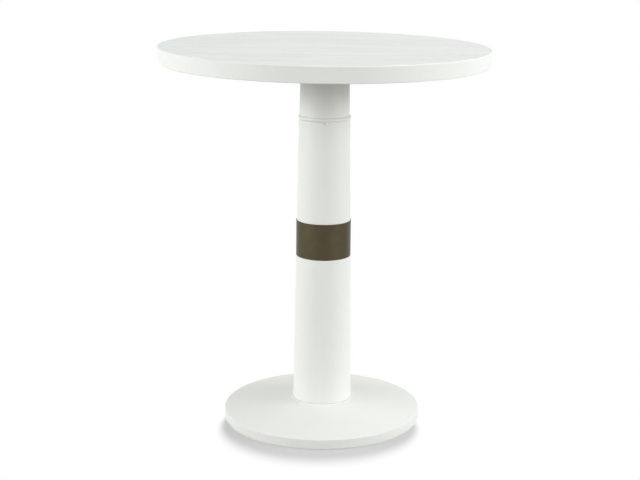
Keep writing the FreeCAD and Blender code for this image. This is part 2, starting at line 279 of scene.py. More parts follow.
def finish_tree(tree, given, geometry):
    """End a tree in real geometry that carries the finish."""
    real = add(tree, "GeometryNodeRealizeInstances", {"Geometry": geometry})
    finished = add(tree, "GeometryNodeSetMaterial", {"Geometry": real, "Material": given["Material"]})
    add(tree, "NodeGroupOutput", {"Geometry": finished})


def lathe_tree():
    """Tree that turns an outline, drawn as edges in the XZ plane, about the Z axis."""
    tree, given = shape_tree(LATHE, (
        ("Outline", "Geometry"), ("Segments", "Int"), ("Guide Radius", "Float"),
        ("Material", "Material")))
    inwards = add(tree, "ShaderNodeMath", {0: given["Guide Radius"], 1: -1.0}, operation="MULTIPLY")
    offset = add(tree, "ShaderNodeCombineXYZ", {"X": inwards})
    profile = add(tree, "GeometryNodeTransform", {
        "Geometry": given["Outline"], "Translation": offset, "Rotation": (math.pi / 2, 0, 0)})
    section = add(tree, "GeometryNodeMeshToCurve", {"Mesh": profile})
    guide = add(tree, "GeometryNodeCurvePrimitiveCircle", {
        "Resolution": given["Segments"], "Radius": given["Guide Radius"]})
    swept = add(tree, "GeometryNodeCurveToMesh", {"Curve": guide, "Profile Curve": section})
    merged = add(tree, "GeometryNodeMergeByDistance", {"Geometry": swept, "Distance": MERGE_DISTANCE})
    finish_tree(tree, given, merged)


def ring_tree():
    """Tree that sets copies of a piece evenly on a circle, each turned by a seeded random angle."""
    tree, given = shape_tree(RING, (
        ("Geometry", "Geometry"), ("Piece", "Object"), ("Count", "Int"), ("Circle Radius", "Float"),
        ("Start Angle", "Float"), ("Turn", "Float"), ("Seed", "Int"), ("Material", "Material")))
    circle = add(tree, "GeometryNodeMeshCircle", {
        "Vertices": given["Count"], "Radius": given["Circle Radius"]})
    start = add(tree, "ShaderNodeCombineXYZ", {"Z": given["Start Angle"]})
    points = add(tree, "GeometryNodeTransform", {"Geometry": circle, "Rotation": start})
    turn = add(tree, "FunctionNodeRandomValue", {
        "Max": given["Turn"], "Seed": given["Seed"]}, data_type="FLOAT")
    facing = add(tree, "ShaderNodeCombineXYZ", {"Z": turn})
    piece = add(tree, "GeometryNodeObjectInfo", {"Object": given["Piece"], "As Instance": True})
    copies = add(tree, "GeometryNodeInstanceOnPoints", {
        "Points": points, "Instance": piece.outputs["Geometry"], "Rotation": facing})
    finish_tree(tree, given, copies)


def thread_tree():
    """Tree that presses a screw thread into the side of a turned blank, between two heights."""
    tree, given = shape_tree(THREAD, (
        ("Blank", "Geometry"), ("Pitch", "Float"), ("Depth", "Float"), ("Core Radius", "Float"),
        ("From", "Float"), ("To", "Float"), ("Material", "Material")))
    x, y, z = add(tree, "ShaderNodeSeparateXYZ", {0: add(tree, "GeometryNodeInputPosition")}).outputs
    angle = add(tree, "ShaderNodeMath", {0: y, 1: x}, operation="ARCTAN2")
    turns = add(tree, "ShaderNodeMath", {0: angle, 1: math.tau}, operation="DIVIDE")
    climb = add(tree, "ShaderNodeMath", {0: z, 1: given["Pitch"]}, operation="DIVIDE")
    phase = add(tree, "ShaderNodeMath", {0: climb, 1: turns}, operation="SUBTRACT")
    groove = add(tree, "ShaderNodeMath", {0: phase, 1: 0.5}, operation="PINGPONG")
    share = add(tree, "ShaderNodeMath", {0: groove, 1: 2.0}, operation="MULTIPLY")
    press = add(tree, "ShaderNodeMath", {0: share, 1: given["Depth"]}, operation="MULTIPLY")
    across = add(tree, "ShaderNodeCombineXYZ", {"X": x, "Y": y})
    distance = add(tree, "ShaderNodeVectorMath", {0: across}, operation="LENGTH")
    above = add(tree, "ShaderNodeMath", {0: z, 1: given["From"]}, operation="GREATER_THAN")
    below = add(tree, "ShaderNodeMath", {0: z, 1: given["To"]}, operation="LESS_THAN")
    outside = add(tree, "ShaderNodeMath", {
        0: distance, 1: given["Core Radius"]}, operation="GREATER_THAN")
    between = add(tree, "ShaderNodeMath", {0: above, 1: below}, operation="MULTIPLY")
    chosen = add(tree, "ShaderNodeMath", {0: between, 1: outside}, operation="MULTIPLY")
    outwards = add(tree, "ShaderNodeVectorMath", {0: across}, operation="NORMALIZE")
    depth = add(tree, "ShaderNodeMath", {0: press, 1: -1.0}, operation="MULTIPLY")
    offset = add(tree, "ShaderNodeVectorMath", {0: outwards, "Scale": depth}, operation="SCALE")
    rolled = add(tree, "GeometryNodeSetPosition", {
        "Geometry": given["Blank"], "Selection": chosen, "Offset": offset})
    finish_tree(tree, given, rolled)


# Making and changing meshes

def linked(name, mesh):
    """New object for a mesh, in the scene."""
    piece = bpy.data.objects.new(name, mesh)
    bpy.context.scene.collection.objects.link(piece)
    return piece


def evaluated(piece):
    """Plain mesh of an object with its modifiers."""
    depsgraph = bpy.context.evaluated_depsgraph_get()
    return bpy.data.meshes.new_from_object(piece.evaluated_get(depsgraph))


def settle(piece):
    """Merge doubles, turn all faces outwards, and shade smooth up to the sharp edges."""
    body = bmesh.new()
    body.from_mesh(piece.data)
    bmesh.ops.remove_doubles(body, verts=body.verts, dist=MERGE_DISTANCE)
    bmesh.ops.dissolve_degenerate(body, edges=body.edges, dist=MERGE_DISTANCE)
    bmesh.ops.recalc_face_normals(body, faces=body.faces)
    body.to_mesh(piece.data)
    body.free()
    piece.data.shade_smooth()
    piece.data.set_sharp_from_angle(angle=SHARP_ANGLE)
    return piece


def grown(name, blank, tree_name, finish, **inputs):
    """Piece that a node tree makes from a blank, in its finish, as a plain mesh."""
    tree = bpy.data.node_groups[tree_name]
    modifier = blank.modifiers.new(tree_name, "NODES")
    modifier.node_group = tree
    inputs["material"] = bpy.data.materials.get(finish)
    for item in tree.interface.items_tree:
        key = item.name.lower().replace(" ", "_")
        if item.in_out == "INPUT" and key in inputs:
            modifier[item.identifier] = inputs[key]
    mesh = evaluated(blank)
    blank.modifiers.remove(modifier)
    bpy.data.objects.remove(blank)
    return settle(linked(name, mesh))


def turned(name, corners, finish, segments=TURNED_SEGMENTS):
    """Piece turned about the Z axis from its outline; one that starts on the axis ends there too."""
    points = outline(corners)
    edges = [(index, index + 1) for index in range(len(points) - 1)]
    if points[0].x:
        edges.append((len(points) - 1, 0))
    mesh = bpy.data.meshes.new(name)
    mesh.from_pydata([(point.x, 0, point.y) for point in points], edges, [])
    blank = linked(name + "_outline", mesh)
    return grown(name, blank, LATHE, finish, segments=segments, guide_radius=GUIDE_RADIUS)


def ringed(name, piece, count, circle_radius, finish, turn=0.0, seed=0, start_angle=0.0):
    """Copies of a piece on a circle about the Z axis, as one mesh."""
    holder = linked(name + "_points", bpy.data.meshes.new(name + "_points"))
    made = grown(
        name, holder, RING, finish, piece=piece, count=count, circle_radius=circle_radius,
        start_angle=start_angle, turn=turn, seed=seed)
    bpy.data.objects.remove(piece)
    return made


def threaded(piece, pitch, core_radius, bottom, top, finish):
    """Piece with a thread rolled into its side, between two heights."""
    return grown(
        piece.name, piece, THREAD, finish, pitch=pitch, depth=THREAD_SHARE * pitch,
        core_radius=core_radius, **{"from": bottom, "to": top})


def cut(piece, cutter, operation="DIFFERENCE"):
    """Take a cutter out of a piece, or keep what both hold, or join the two."""
    modifier = piece.modifiers.new("Cut", "BOOLEAN")
    modifier.operation = operation
    modifier.solver = "EXACT"
    modifier.use_self = True
    modifier.object = cutter
    mesh = evaluated(piece)
    piece.modifiers.remove(modifier)
    piece.data = mesh
    bpy.data.objects.remove(cutter)
    return settle(piece)


def moved(piece, matrix):
    """Move a piece's mesh, and leave its object at the origin."""
    piece.data.transform(matrix)
    return piece


def joined(name, pieces):
    """One object that holds the meshes of several pieces with the same finish."""
    body = bmesh.new()
    for piece in pieces:
        body.from_mesh(piece.data)
    mesh = bpy.data.meshes.new(name)
    body.to_mesh(mesh)
    body.free()
    mesh.materials.append(pieces[0].data.materials[0])
    for piece in pieces:
        bpy.data.objects.remove(piece)
    return settle(linked(name, mesh))


def prism(name, sides, across_flats, bottom, top, taper_share=1.0):
    """Regular prism on the Z axis; the taper share is its top's width over its bottom's."""
    body = bmesh.new()
    radius = across_flats / 2 / math.cos(math.pi / sides)
    place = Matrix.Translation((0, 0, (bottom + top) / 2)) @ Matrix.Rotation(math.pi / 2, 4, "Z")
    bmesh.ops.create_cone(
        body, cap_ends=True, segments=sides, radius1=radius, radius2=radius * taper_share,
        depth=top - bottom, matrix=place)
    mesh = bpy.data.meshes.new(name)
    body.to_mesh(mesh)
    body.free()
    return linked(name, mesh)


def cross(span_across, arm_width, bottom, top):
    """Cross-shaped driver tip that narrows upwards."""
    arms = []
    for turn in (0, math.pi / 2):
        arm = prism("driver", 4, 1.0, bottom, top, DRIVER_TAPER)
        squared = Matrix.Rotation(math.pi / 4, 4, "Z")
        stretched = Matrix.Diagonal((span_across, arm_width, 1, 1))
        arms.append(moved(arm, Matrix.Rotation(turn, 4, "Z") @ stretched @ squared))
    return cut(arms[0], arms[1], operation="UNION")


def drilled(radius, bottom, top, count, circle_radius, start_angle=0.0):
    """Drills on a circle, each a little wider and longer than what its hole holds."""
    drill = prism(
        "drill", SCREW_SEGMENTS, 2 * (radius + FIT_GAP), bottom - OVERRUN, top + 2 * FIT_GAP)
    return ringed("drills", drill, count, circle_radius, "", start_angle=start_angle)


def dowel_drills(radius):
    """Drills for the dowels between neck and cleat."""
    circle_radius = (reach("neck_dowels") - radius) / math.cos(QUARTER_START)
    return drilled(radius, *span("neck_dowels"), NECK_DOWELS, circle_radius, QUARTER_START)


def wood_screws(name, node, head_corners, head, seat, driver_share, count, seed, metal):
    """Ring of cross-recessed screws that point upwards, each stopped at an angle of its own."""
    bottom, top = span(node)
    radius, pitch = metal.screw_radius, metal.screw_pitch
    tip_length, tip_radius = 2 * radius, 0.1 * radius
    screw = turned("screw", [
        corner(0, bottom), *head_corners, *shaft(radius, seat, top - tip_length, pitch),
        corner(tip_radius, top), corner(0, top)], ZINC, SCREW_SEGMENTS)
    screw = threaded(screw, pitch, WOOD_CORE * radius, seat + pitch, top, ZINC)
    arm, depth = (share * head for share in DRIVER_SHARES)
    cut(screw, cross(driver_share * head, arm, bottom - OVERRUN, bottom + depth))
    return ringed(name, screw, count, reach(node) - head, ZINC, turn=math.tau, seed=seed)


def tenon(size, bore, bottom, shoulder):
    """Corners from the rod's bore out and up round a bevelled tenon, to its shoulder."""
    return [
        corner(bore, bottom), corner(size.tenon_radius - size.tenon_bevel, bottom),
        corner(size.tenon_radius, bottom + size.tenon_bevel), corner(size.tenon_radius, shoulder)]


def inset_from_front(depth_y, height):
    """Matrix that lays a piece down along -Y, with its lower end at a depth and height."""
    return Matrix.Translation((0, depth_y, height)) @ Matrix.Rotation(math.pi / 2, 4, "X")


def dress(piece, slot, body, *nodes):
    """Let a piece ride on its body and stand for its nodes."""
    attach(piece, body)
    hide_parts(*nodes)


# Sizes and colours that a user may change

class PUBTABLE_PG_sizes(bpy.types.PropertyGroup):
    """Sizes of the turned pieces."""
    top_radius: length("Top radius", "Outer radius of the table top", reach("top_rim"))
    arris: length("Top arris", "Sanded edge round the top, on the ring and on the oak", 1 * MM)
    rim_inset: length("Ring inset", "How far the ring's lower edge stands in from its upper edge", 5 * MM)
    rim_width: length("Ring width", "Width of the ring's underside", 50 * MM)
    rim_rebate: length("Ring rebate", "Width of the step that carries the panel", 23 * MM)
    rim_lower_round: length("Ring lower round", "Rounding of the ring's lower edge", 2.5 * MM)
    rim_inner_round: length("Ring inner round", "Rounding of the ring's inner edge", 2 * MM)
    cleat_bevel: length("Cleat bevel", "Bevel round the plywood block under the top", 6 * MM)
    neck_foot_radius: length(
        "Neck foot radius", "Radius of the neck where it meets the bead", reach("neck"))
    neck_head_radius: length("Neck head radius", "Radius of the neck under the cleat", 67.7 * MM)
    neck_foot_round: length("Neck foot round", "Rounding of the neck above the bead", 0.3 * MM)
    bead_bow: length("Bead bow", "How far the bead swells past its edges", 3.5 * MM)
    column_head_round: length("Column head round", "Rounding of the column under the bead", 2.5 * MM)
    column_head_radius: length("Column head radius", "Radius of the column under the bead", 71 * MM)
    column_waist_radius: length(
        "Column waist radius", "Radius of the lower column under the bronze band", 76.76 * MM)
    column_foot_radius: length(
        "Column foot radius", "Radius of the column on the base", reach("lower_column"))
    joint_round: length("Joint round", "Rounding of the column beside the bronze band", 0.5 * MM)
    foot_round: length("Foot round", "Rounding of the column's foot", 1 * MM)
    tenon_radius: length("Tenon radius", "Radius of the tenons inside the column", 40 * MM)
    tenon_bevel: length("Tenon bevel", "Bevel round the end of each tenon", 2 * MM)
    tenon_length: length("Tenon length", "Length of the tenons inside the column", 25 * MM)
    tenon_end_gap: length("Tenon end gap", "Glue space at the bottom of each socket", 0.5 * MM)
    band_wall: length("Band wall", "Thickness of the bronze sleeve", 2 * MM)
    band_round: length("Band round", "Rounding of the bronze sleeve's edges", 0.4 * MM)
    base_radius: length("Base radius", "Outer radius of the base", reach("base_disc"))
    base_edge_height: length("Base edge", "Height of the base's edge below its dome", 28.5 * MM)
    base_lower_round: length("Base lower round", "Rounding of the base's lower edge", 3 * MM)
    base_crease_round: length("Base crease round", "Rounding where the edge meets the dome", 1.5 * MM)
    dome_bow: length("Dome bow", "Rise of the dome over a straight cone", 2 * MM)
    seat_margin: length("Seat margin", "Flat ring left round the foot of the column", 4.5 * MM)
    seat_step: length("Seat step", "Height of that ring over the dome", 2.5 * MM)
    seat_round: length("Seat round", "Rounding of the seat's edge", 0.8 * MM)
    ballast_gap: length("Ballast gap", "Space round the ballast plate in the base", 1 * MM)


class PUBTABLE_PG_hardware(bpy.types.PropertyGroup):
    """Sizes of the rod, screws and glides."""
    rod_bore_radius: length("Rod bore", "Radius of the bore that the rod runs through", 7 * MM)
    rod_radius: length("Rod radius", "Radius of the tie rod", 6 * MM)
    rod_pitch: length("Rod pitch", "Thread pitch of the tie rod", 1.75 * MM)
    rod_thread_length: length("Rod thread", "Length of the thread at each end of the rod", 34 * MM)
    nut_height: length("Nut height", "Height of the rod's nuts", 10 * MM)
    nut_across_flats: length("Nut width", "Width of the rod's nuts across their flats", 18 * MM)
    nut_recess_radius: length("Nut recess", "Radius of the recess round each nut", 24 * MM)
    washer_thickness: length("Washer thickness", "Thickness of the rod's washers", 3 * MM)
    dowel_radius: length("Dowel radius", "Radius of the dowels between neck and cleat", 5 * MM)
    grub_screw_pitch: length("Grub screw pitch", "Thread pitch of the grub screw", 0.8 * MM)
    grub_screw_key: length(
        "Grub screw key", "Width of the grub screw's socket across its flats", 2.5 * MM)
    grub_socket_depth: length("Grub socket depth", "Depth of the grub screw's socket", 3 * MM)
    screw_head_radius: length("Screw head radius", "Radius of the pan heads under the cleat", 5.5 * MM)
    screw_head_height: length("Screw head height", "Height of the pan heads under the cleat", 3.5 * MM)
    screw_radius: length("Screw radius", "Radius of the wood screws' threads", 2.5 * MM)
    screw_pitch: length("Screw pitch", "Thread pitch of the wood screws", 2.2 * MM)
    sunk_head_radius: length("Sunk head radius", "Radius of the countersunk heads", 5 * MM)
    sunk_head_height: length("Sunk head height", "Height of the countersunk heads", 3 * MM)
    stem_radius: length("Stem radius", "Radius of a glide's threaded stem", 4 * MM)
    stem_pitch: length("Stem pitch", "Thread pitch of a glide's stem", 1.25 * MM)
    stem_across_flats: length("Stem hexagon", "Width of the hexagon inside a glide's pad", 13 * MM)
    stem_hexagon_height: length("Stem hexagon height", "Height of that hexagon", 3.5 * MM)
    pad_round: length("Pad round", "Rounding of a glide pad's lower edge", 1.5 * MM)
    pad_flutes: IntProperty(
        name="Pad flutes", description="Finger grips round a glide pad", default=24, min=3)
    flute_radius: length("Flute radius", "Radius of the finger grips round a glide pad", 1 * MM)
    stem_hole_gap: length("Stem hole gap", "Space round a stem in the hole over its insert", 0.5 * MM)
    pad_recess_gap: length("Pad recess gap", "Space round a glide pad in the base", 1.5 * MM)
    insert_radius: length("Insert radius", "Radius of a threaded insert's body", 6.5 * MM)
    insert_flange: length("Insert flange", "Thickness of a threaded insert's flange", 1.5 * MM)


class PUBTABLE_PG_finish(bpy.types.PropertyGroup):
    """Colours and grain of the finishes."""
    oak: paint("Limed oak", "Oak between its pores, under the lime", "#E8EBE8")
    oak_late_wood: paint("Oak late wood", "Denser, greyer wood between the growth rings", "#DEE2DD")
    lime: paint("Lime", "Lime wax that fills the brushed pores", "#F0F3F0")
    leaf_width: length("Leaf width", "Width of one leaf of the oak veneer", 152 * MM)
    ring_spacing: length("Ring spacing", "Spacing of the oak's growth rings on its face", 9 * MM)
    pore_length: length("Pore length", "Length of the oak's brushed pores", 9 * MM)
    lacquer: paint("White lacquer", "Satin lacquer of the ring, column and base", "#ECEFEA")
    bronze: paint("Bronze", "Waxed dark bronze", "#574F3D")
    patina: paint("Patina", "Darker patina on the bronze", "#4B4434")
    backing: paint("Backing", "Sealed oak sheet under the top", "#8C7C3E")
    ply_thickness: length("Ply thickness", "Thickness of one sheet in the plywood", 1.4 * MM)
    birch: paint("Birch", "Birch along its grain", "#AE9E58")
    birch_end: paint("Birch end grain", "Birch across its grain", "#80713E")


class PUBTABLE_PG_stage(bpy.types.PropertyGroup):
    """Camera, lamps and floor."""
    camera_distance: length("Camera distance", "Distance in front of the column", 3.842)
    camera_height: length("Camera height", "Height above the floor", 1.463)
    camera_pitch: lean("Camera pitch", "Angle that the camera looks down by", 13.733)
    camera_yaw: lean("Camera yaw", "Angle that the camera turns to the right by", 2.014)
    camera_roll: lean("Camera roll", "Angle that the camera leans by", 1.046)
    camera_lens: FloatProperty(
        name="Camera lens", description="Focal length on a sensor 36 mm wide", default=78.65, min=1,
        unit="CAMERA")
    camera_shift: FloatProperty(
        name="Camera shift", default=-0.08,
        description="Sideways shift of the frame, as the photograph was cropped off centre")
    left_power: power("Left softbox", "Power of the low softbox on the left", 252)
    left_front_power: power("Left front softbox", "Power of the high softbox at the left front", 80)
    right_power: power("Right softbox", "Power of the high softbox on the right", 150)
    right_front_power: power("Right front softbox", "Power of the low softbox at the right front", 156)
    overhead_power: power("Overhead softbox", "Power of the softbox over the table's right side", 124)
    fill: FloatProperty(
        name="Fill", description="Strength of the even light from all round", default=0.43, min=0)
    # painted shadow: the camera sees this grey only inside the painted shadow's ovals, where it darkens
    # the floor on top of the real shadow; further out the paper shows white
    floor_shadow_paint: paint("Floor", "Pale studio floor, as the camera sees it", "#B6B6B6")
    floor_bounce: paint("Floor bounce", "The floor as it lights the table from below", "#AAAAAA")


# Finishes

def new_finish(name):
    """Node tree and shader of a new material, and the place on the piece that its patterns read."""
    finish = bpy.data.materials.new(name)
    finish.use_nodes = True
    tree = finish.node_tree
    return tree, tree.nodes["Principled BSDF"], add(tree, "ShaderNodeTexCoord").outputs["Object"]


def rgba(colour):
    """Opaque colour for a socket."""
    return (*colour, 1)


def streaks(tree, place, sizes, detail, roughness=0.5):
    """Noise whose marks have real sizes along X, Y and Z, in metres."""
    stretched = add(tree, "ShaderNodeMapping", {
        "Vector": place, "Scale": tuple(1 / size for size in sizes)})
    return add(tree, "ShaderNodeTexNoise", {
        "Vector": stretched, "Scale": 1.0, "Detail": detail, "Roughness": roughness})


def shaded(tree, colour, pattern, darkest, lightest, pattern_range=NOISE_RANGE):
    """Colour that a pattern darkens and lightens, between two shares of it."""
    share = add(tree, "ShaderNodeMapRange", {
        "Value": pattern, **pattern_range, "To Min": darkest, "To Max": lightest})
    return add(tree, "ShaderNodeVectorMath", {0: colour, "Scale": share}, operation="SCALE")


def limed_oak(name, look):
    """Wire-brushed oak veneer, limed and matt lacquered: a pale grey face with soft long grain."""
    tree, shader, place = new_finish(name)
    across = add(tree, "ShaderNodeSeparateXYZ", {0: place}).outputs["Y"]
    leaf_place = add(tree, "ShaderNodeMath", {0: across, 1: look.leaf_width}, operation="DIVIDE")
    leaf = add(tree, "ShaderNodeMath", {0: leaf_place, 1: 0.5}, operation="ADD")
    leaf_number = add(tree, "ShaderNodeMath", {0: leaf}, operation="FLOOR")
    chance = add(tree, "ShaderNodeTexWhiteNoise", {"W": leaf_number}, noise_dimensions="1D")
    # each leaf is cut from another part of the log, up to 9 m away in the pattern
    shift = add(tree, "ShaderNodeVectorMath", {
        0: chance.outputs["Color"], 1: (9, 0, 9)}, operation="MULTIPLY")
    shifted = add(tree, "ShaderNodeVectorMath", {0: place, 1: shift})
    # the grain wanders by about a finger's width over an arm's length
    sway = streaks(tree, shifted, (0.5, 0.2, 1), 1.0)
    sway_offset = add(tree, "ShaderNodeVectorMath", {
        0: sway.outputs["Color"], 1: (0, 0.045, 0)}, operation="MULTIPLY")
    along = add(tree, "ShaderNodeVectorMath", {0: shifted, 1: sway_offset})
    rings = streaks(tree, along, (0.45, look.ring_spacing, 1), 3.0, 0.6)
    # broad plain and figured stretches, a hand wide, which are what shows from across the room
    figure = streaks(tree, along, (0.3, 0.06, 1), 2.0)
    # real pores are 0.3 mm wide; they are drawn 0.7 mm wide, so that they show
    pores = streaks(tree, along, (look.pore_length, 0.7 * MM, 1), 2.0)
    pore = add(tree, "ShaderNodeMapRange", {"Value": pores, "From Min": 0.58, "From Max": 0.68})
    # the wood's rays show as short pale flecks, each up to 40 mm long and 5 mm wide
    flecks = streaks(tree, along, (0.04, 5 * MM, 1), 1.0)
    fleck = add(tree, "ShaderNodeMapRange", {"Value": flecks, "From Min": 0.66, "From Max": 0.72})
    ring_share = add(tree, "ShaderNodeMapRange", {"Value": rings, **NOISE_RANGE, "To Max": 0.4})
    figure_share = add(tree, "ShaderNodeMapRange", {
        "Value": figure, "From Min": 0.35, "From Max": 0.65, "To Max": 0.6})
    late = add(tree, "ShaderNodeMath", {0: ring_share, 1: figure_share}, operation="ADD", use_clamp=True)
    wood = add(tree, "ShaderNodeMix", {
        0: late, 6: rgba(look.oak), 7: rgba(look.oak_late_wood)}, data_type="RGBA")
    # neighbouring leaves differ by a shade that the eye only just sees
    toned = shaded(tree, wood, chance, 0.98, 1.01, {})
    pore_share = add(tree, "ShaderNodeMath", {0: pore, 1: 0.6}, operation="MULTIPLY")
    pale = add(tree, "ShaderNodeMath", {0: pore_share, 1: fleck}, operation="MAXIMUM")
    limed = add(tree, "ShaderNodeMix", {0: pale, 6: toned, 7: rgba(look.lime)}, data_type="RGBA")
    roughness = add(tree, "ShaderNodeMapRange", {
        "Value": rings, **NOISE_RANGE, "To Min": 0.6, "To Max": 0.72})
    relief = add(tree, "ShaderNodeMath", {0: rings, 1: pore_share}, operation="SUBTRACT")
    bump = add(tree, "ShaderNodeBump", {"Strength": 0.35, "Distance": 0.1 * MM, "Height": relief})
    feed(tree, shader, {
        "Base Color": limed, "Roughness": roughness, "Normal": bump, "IOR": 1.5,
        "Specular IOR Level": 0.25})


def white_lacquer(name, look, grain):
    """Satin lacquer sprayed over fine wood: even and white, with a trace of its grain and spray."""
    tree, shader, place = new_finish(name)
    wood = streaks(tree, place, grain, 3.0, 0.6)
    # spray leaves a skin like an orange's, with dimples 2 mm apart
    spray = add(tree, "ShaderNodeTexNoise", {"Vector": place, "Scale": 1 / (2 * MM), "Detail": 1.0})
    cloud = add(tree, "ShaderNodeTexNoise", {"Vector": place, "Scale": 1 / 0.12, "Detail": 2.0})
    tone = add(tree, "ShaderNodeMath", {0: wood, 1: cloud}, operation="ADD")
    colour = shaded(
        tree, tuple(look.lacquer), tone, 0.98, 1.01, {"From Min": 0.7, "From Max": 1.3})
    roughness = add(tree, "ShaderNodeMapRange", {
        "Value": cloud, **NOISE_RANGE, "To Min": 0.36, "To Max": 0.44})
    grain_share = add(tree, "ShaderNodeMath", {0: wood, 1: 0.6}, operation="MULTIPLY")
    relief = add(tree, "ShaderNodeMath", {0: spray, 1: grain_share}, operation="ADD")
    bump = add(tree, "ShaderNodeBump", {"Strength": 0.2, "Distance": 0.04 * MM, "Height": relief})
    feed(tree, shader, {"Base Color": colour, "Roughness": roughness, "Normal": bump, "IOR": 1.5})


def dark_bronze(name, look):
    """Bronze sleeve, brushed round, darkened by patina and waxed: a soft brown sheen with fine lines."""
    tree, shader, place = new_finish(name)
    mottle = add(tree, "ShaderNodeTexNoise", {"Vector": place, "Scale": 1 / 0.03, "Detail": 4.0})
    brushed = streaks(tree, place, (0.04, 0.04, 0.5 * MM), 3.0, 0.7)
    worn = add(tree, "ShaderNodeMath", {0: mottle, 1: brushed}, operation="ADD")
    share = add(tree, "ShaderNodeMapRange", {"Value": worn, "From Min": 0.6, "From Max": 1.4})
    colour = add(tree, "ShaderNodeMix", {
        0: share, 6: rgba(look.patina), 7: rgba(look.bronze)}, data_type="RGBA")
    roughness = add(tree, "ShaderNodeMapRange", {
        "Value": brushed, **NOISE_RANGE, "To Min": 0.34, "To Max": 0.46})
    bump = add(tree, "ShaderNodeBump", {"Strength": 0.25, "Distance": 0.03 * MM, "Height": brushed})
    feed(tree, shader, {"Base Color": colour, "Roughness": roughness, "Normal": bump, "Metallic": 1.0})


def backing_sheet(name, look):
    """Sealed oak balancing sheet: warm, open grained, and left unlimed because it faces the floor."""
    tree, shader, place = new_finish(name)
    grain = streaks(tree, place, (0.3, 5 * MM, 1), 4.0, 0.65)
    colour = shaded(tree, tuple(look.backing), grain, 0.82, 1.08)
    bump = add(tree, "ShaderNodeBump", {"Strength": 0.3, "Distance": 0.1 * MM, "Height": grain})
    feed(tree, shader, {"Base Color": colour, "Normal": bump, "Roughness": 0.55})


def birch_plywood(name, look):
    """Clear sealed birch plywood: the edge shows its sheets, light along the grain and dark across it."""
    tree, shader, place = new_finish(name)
    height = add(tree, "ShaderNodeSeparateXYZ", {0: place}).outputs["Z"]
    sheets = add(tree, "ShaderNodeMath", {0: height, 1: 2 * look.ply_thickness}, operation="DIVIDE")
    share = add(tree, "ShaderNodeMath", {0: sheets}, operation="FRACT")
    across = add(tree, "ShaderNodeMath", {0: share, 1: 0.5}, operation="GREATER_THAN")
    sheet = add(tree, "ShaderNodeMix", {
        0: across, 6: rgba(look.birch), 7: rgba(look.birch_end)}, data_type="RGBA")
    grain = streaks(tree, place, (0.12, 2 * MM, 1 * MM), 3.0)
    colour = shaded(tree, sheet, grain, 0.9, 1.05)
    feed(tree, shader, {"Base Color": colour, "Roughness": 0.5})


def plain_wood(name, code, grain):
    """Bare wood or board inside the table, with its grain or fibres."""
    tree, shader, place = new_finish(name)
    colour = shaded(tree, linear(code), streaks(tree, place, grain, 4.0), 0.88, 1.08)
    feed(tree, shader, {"Base Color": colour, "Roughness": 0.75})


def plated_steel(name, code, smoothest, roughest):
    """Plated steel, with the fine frost that the bath leaves in its sheen."""
    tree, shader, place = new_finish(name)
    frost = add(tree, "ShaderNodeTexNoise", {"Vector": place, "Scale": 1 / (0.6 * MM), "Detail": 3.0})
    roughness = add(tree, "ShaderNodeMapRange", {
        "Value": frost, **NOISE_RANGE, "To Min": smoothest, "To Max": roughest})
    feed(tree, shader, {"Base Color": rgba(linear(code)), "Roughness": roughness, "Metallic": 1.0})


def grained_coat(name, code, grain_size, roughness):
    """Powder coat or moulded plastic: dull, with a fine even grain in its surface."""
    tree, shader, place = new_finish(name)
    grain = add(tree, "ShaderNodeTexNoise", {"Vector": place, "Scale": 1 / grain_size, "Detail": 2.0})
    bump = add(tree, "ShaderNodeBump", {"Strength": 0.4, "Distance": 0.05 * MM, "Height": grain})
    feed(tree, shader, {"Base Color": rgba(linear(code)), "Normal": bump, "Roughness": roughness})


# Operators, one for each piece or group of like pieces

class PUBTABLE_OT_workshop(bpy.types.Operator):
    """Make the finishes, and the node trees that turn, repeat and thread the pieces"""
    bl_idname = "pubtable.workshop"
    bl_label = "Finishes and shape trees"

    def execute(self, context):
        look = context.scene.pub_table_finish
        lathe_tree()
        ring_tree()
        thread_tree()
        limed_oak(OAK, look)
        white_lacquer(RING_LACQUER, look, (0.3, 6 * MM, 0.02))
        white_lacquer(COLUMN_LACQUER, look, (6 * MM, 6 * MM, 0.3))
        dark_bronze(BRONZE, look)
        backing_sheet(BACKING, look)
        birch_plywood(PLYWOOD, look)
        plain_wood(CORE_BOARD, "#A98A62", (3 * MM, 3 * MM, 1 * MM))
        plain_wood(BEECH, "#D2AE84", (3 * MM, 3 * MM, 0.05))
        plated_steel(ZINC, "#C9CBC8", 0.28, 0.4)
        grained_coat(POWDER_COAT, "#1C1D1E", 0.8 * MM, 0.6)
        grained_coat(NYLON, "#232425", 0.5 * MM, 0.5)
        return {"FINISHED"}


class PUBTABLE_OT_oak_face(bpy.types.Operator):
    """Make the oak sheet that covers the whole top, bevelled to run on from the ring's arris"""
    bl_idname = "pubtable.oak_face"
    bl_label = "Oak face"

    def execute(self, context):
        size = context.scene.pub_table_sizes
        bottom, top = span("face_veneer")
        face = turned("oak_face", [
            corner(0, bottom), corner(size.top_radius - size.arris, bottom),
            corner(size.top_radius - 2 * size.arris, top, size.arris / 3), corner(0, top)],
            OAK, TOP_SEGMENTS)
        dress(face, "brushed_oak_face", TABLE, "face_veneer")
        return {"FINISHED"}


class PUBTABLE_OT_edge_ring(bpy.types.Operator):
    """Make the deep ring under the oak's edge, which leans inwards and is rebated for the panel"""
    bl_idname = "pubtable.edge_ring"
    bl_label = "Edge ring"

    def execute(self, context):
        size = context.scene.pub_table_sizes
        bottom, top = span("top_rim")
        rebate = low("top_panel")
        outer = size.top_radius - size.rim_inset
        inner = outer - size.rim_width
        ring = turned("edge_ring", [
            corner(inner, bottom, size.rim_inner_round), corner(outer, bottom, size.rim_lower_round),
            corner(size.top_radius, top - size.arris), corner(size.top_radius - size.arris, top),
            corner(inner + size.rim_rebate, top), corner(inner + size.rim_rebate, rebate),
            corner(inner, rebate)], RING_LACQUER, TOP_SEGMENTS)
        dress(ring, "painted_wood", TABLE, "top_rim")
        return {"FINISHED"}


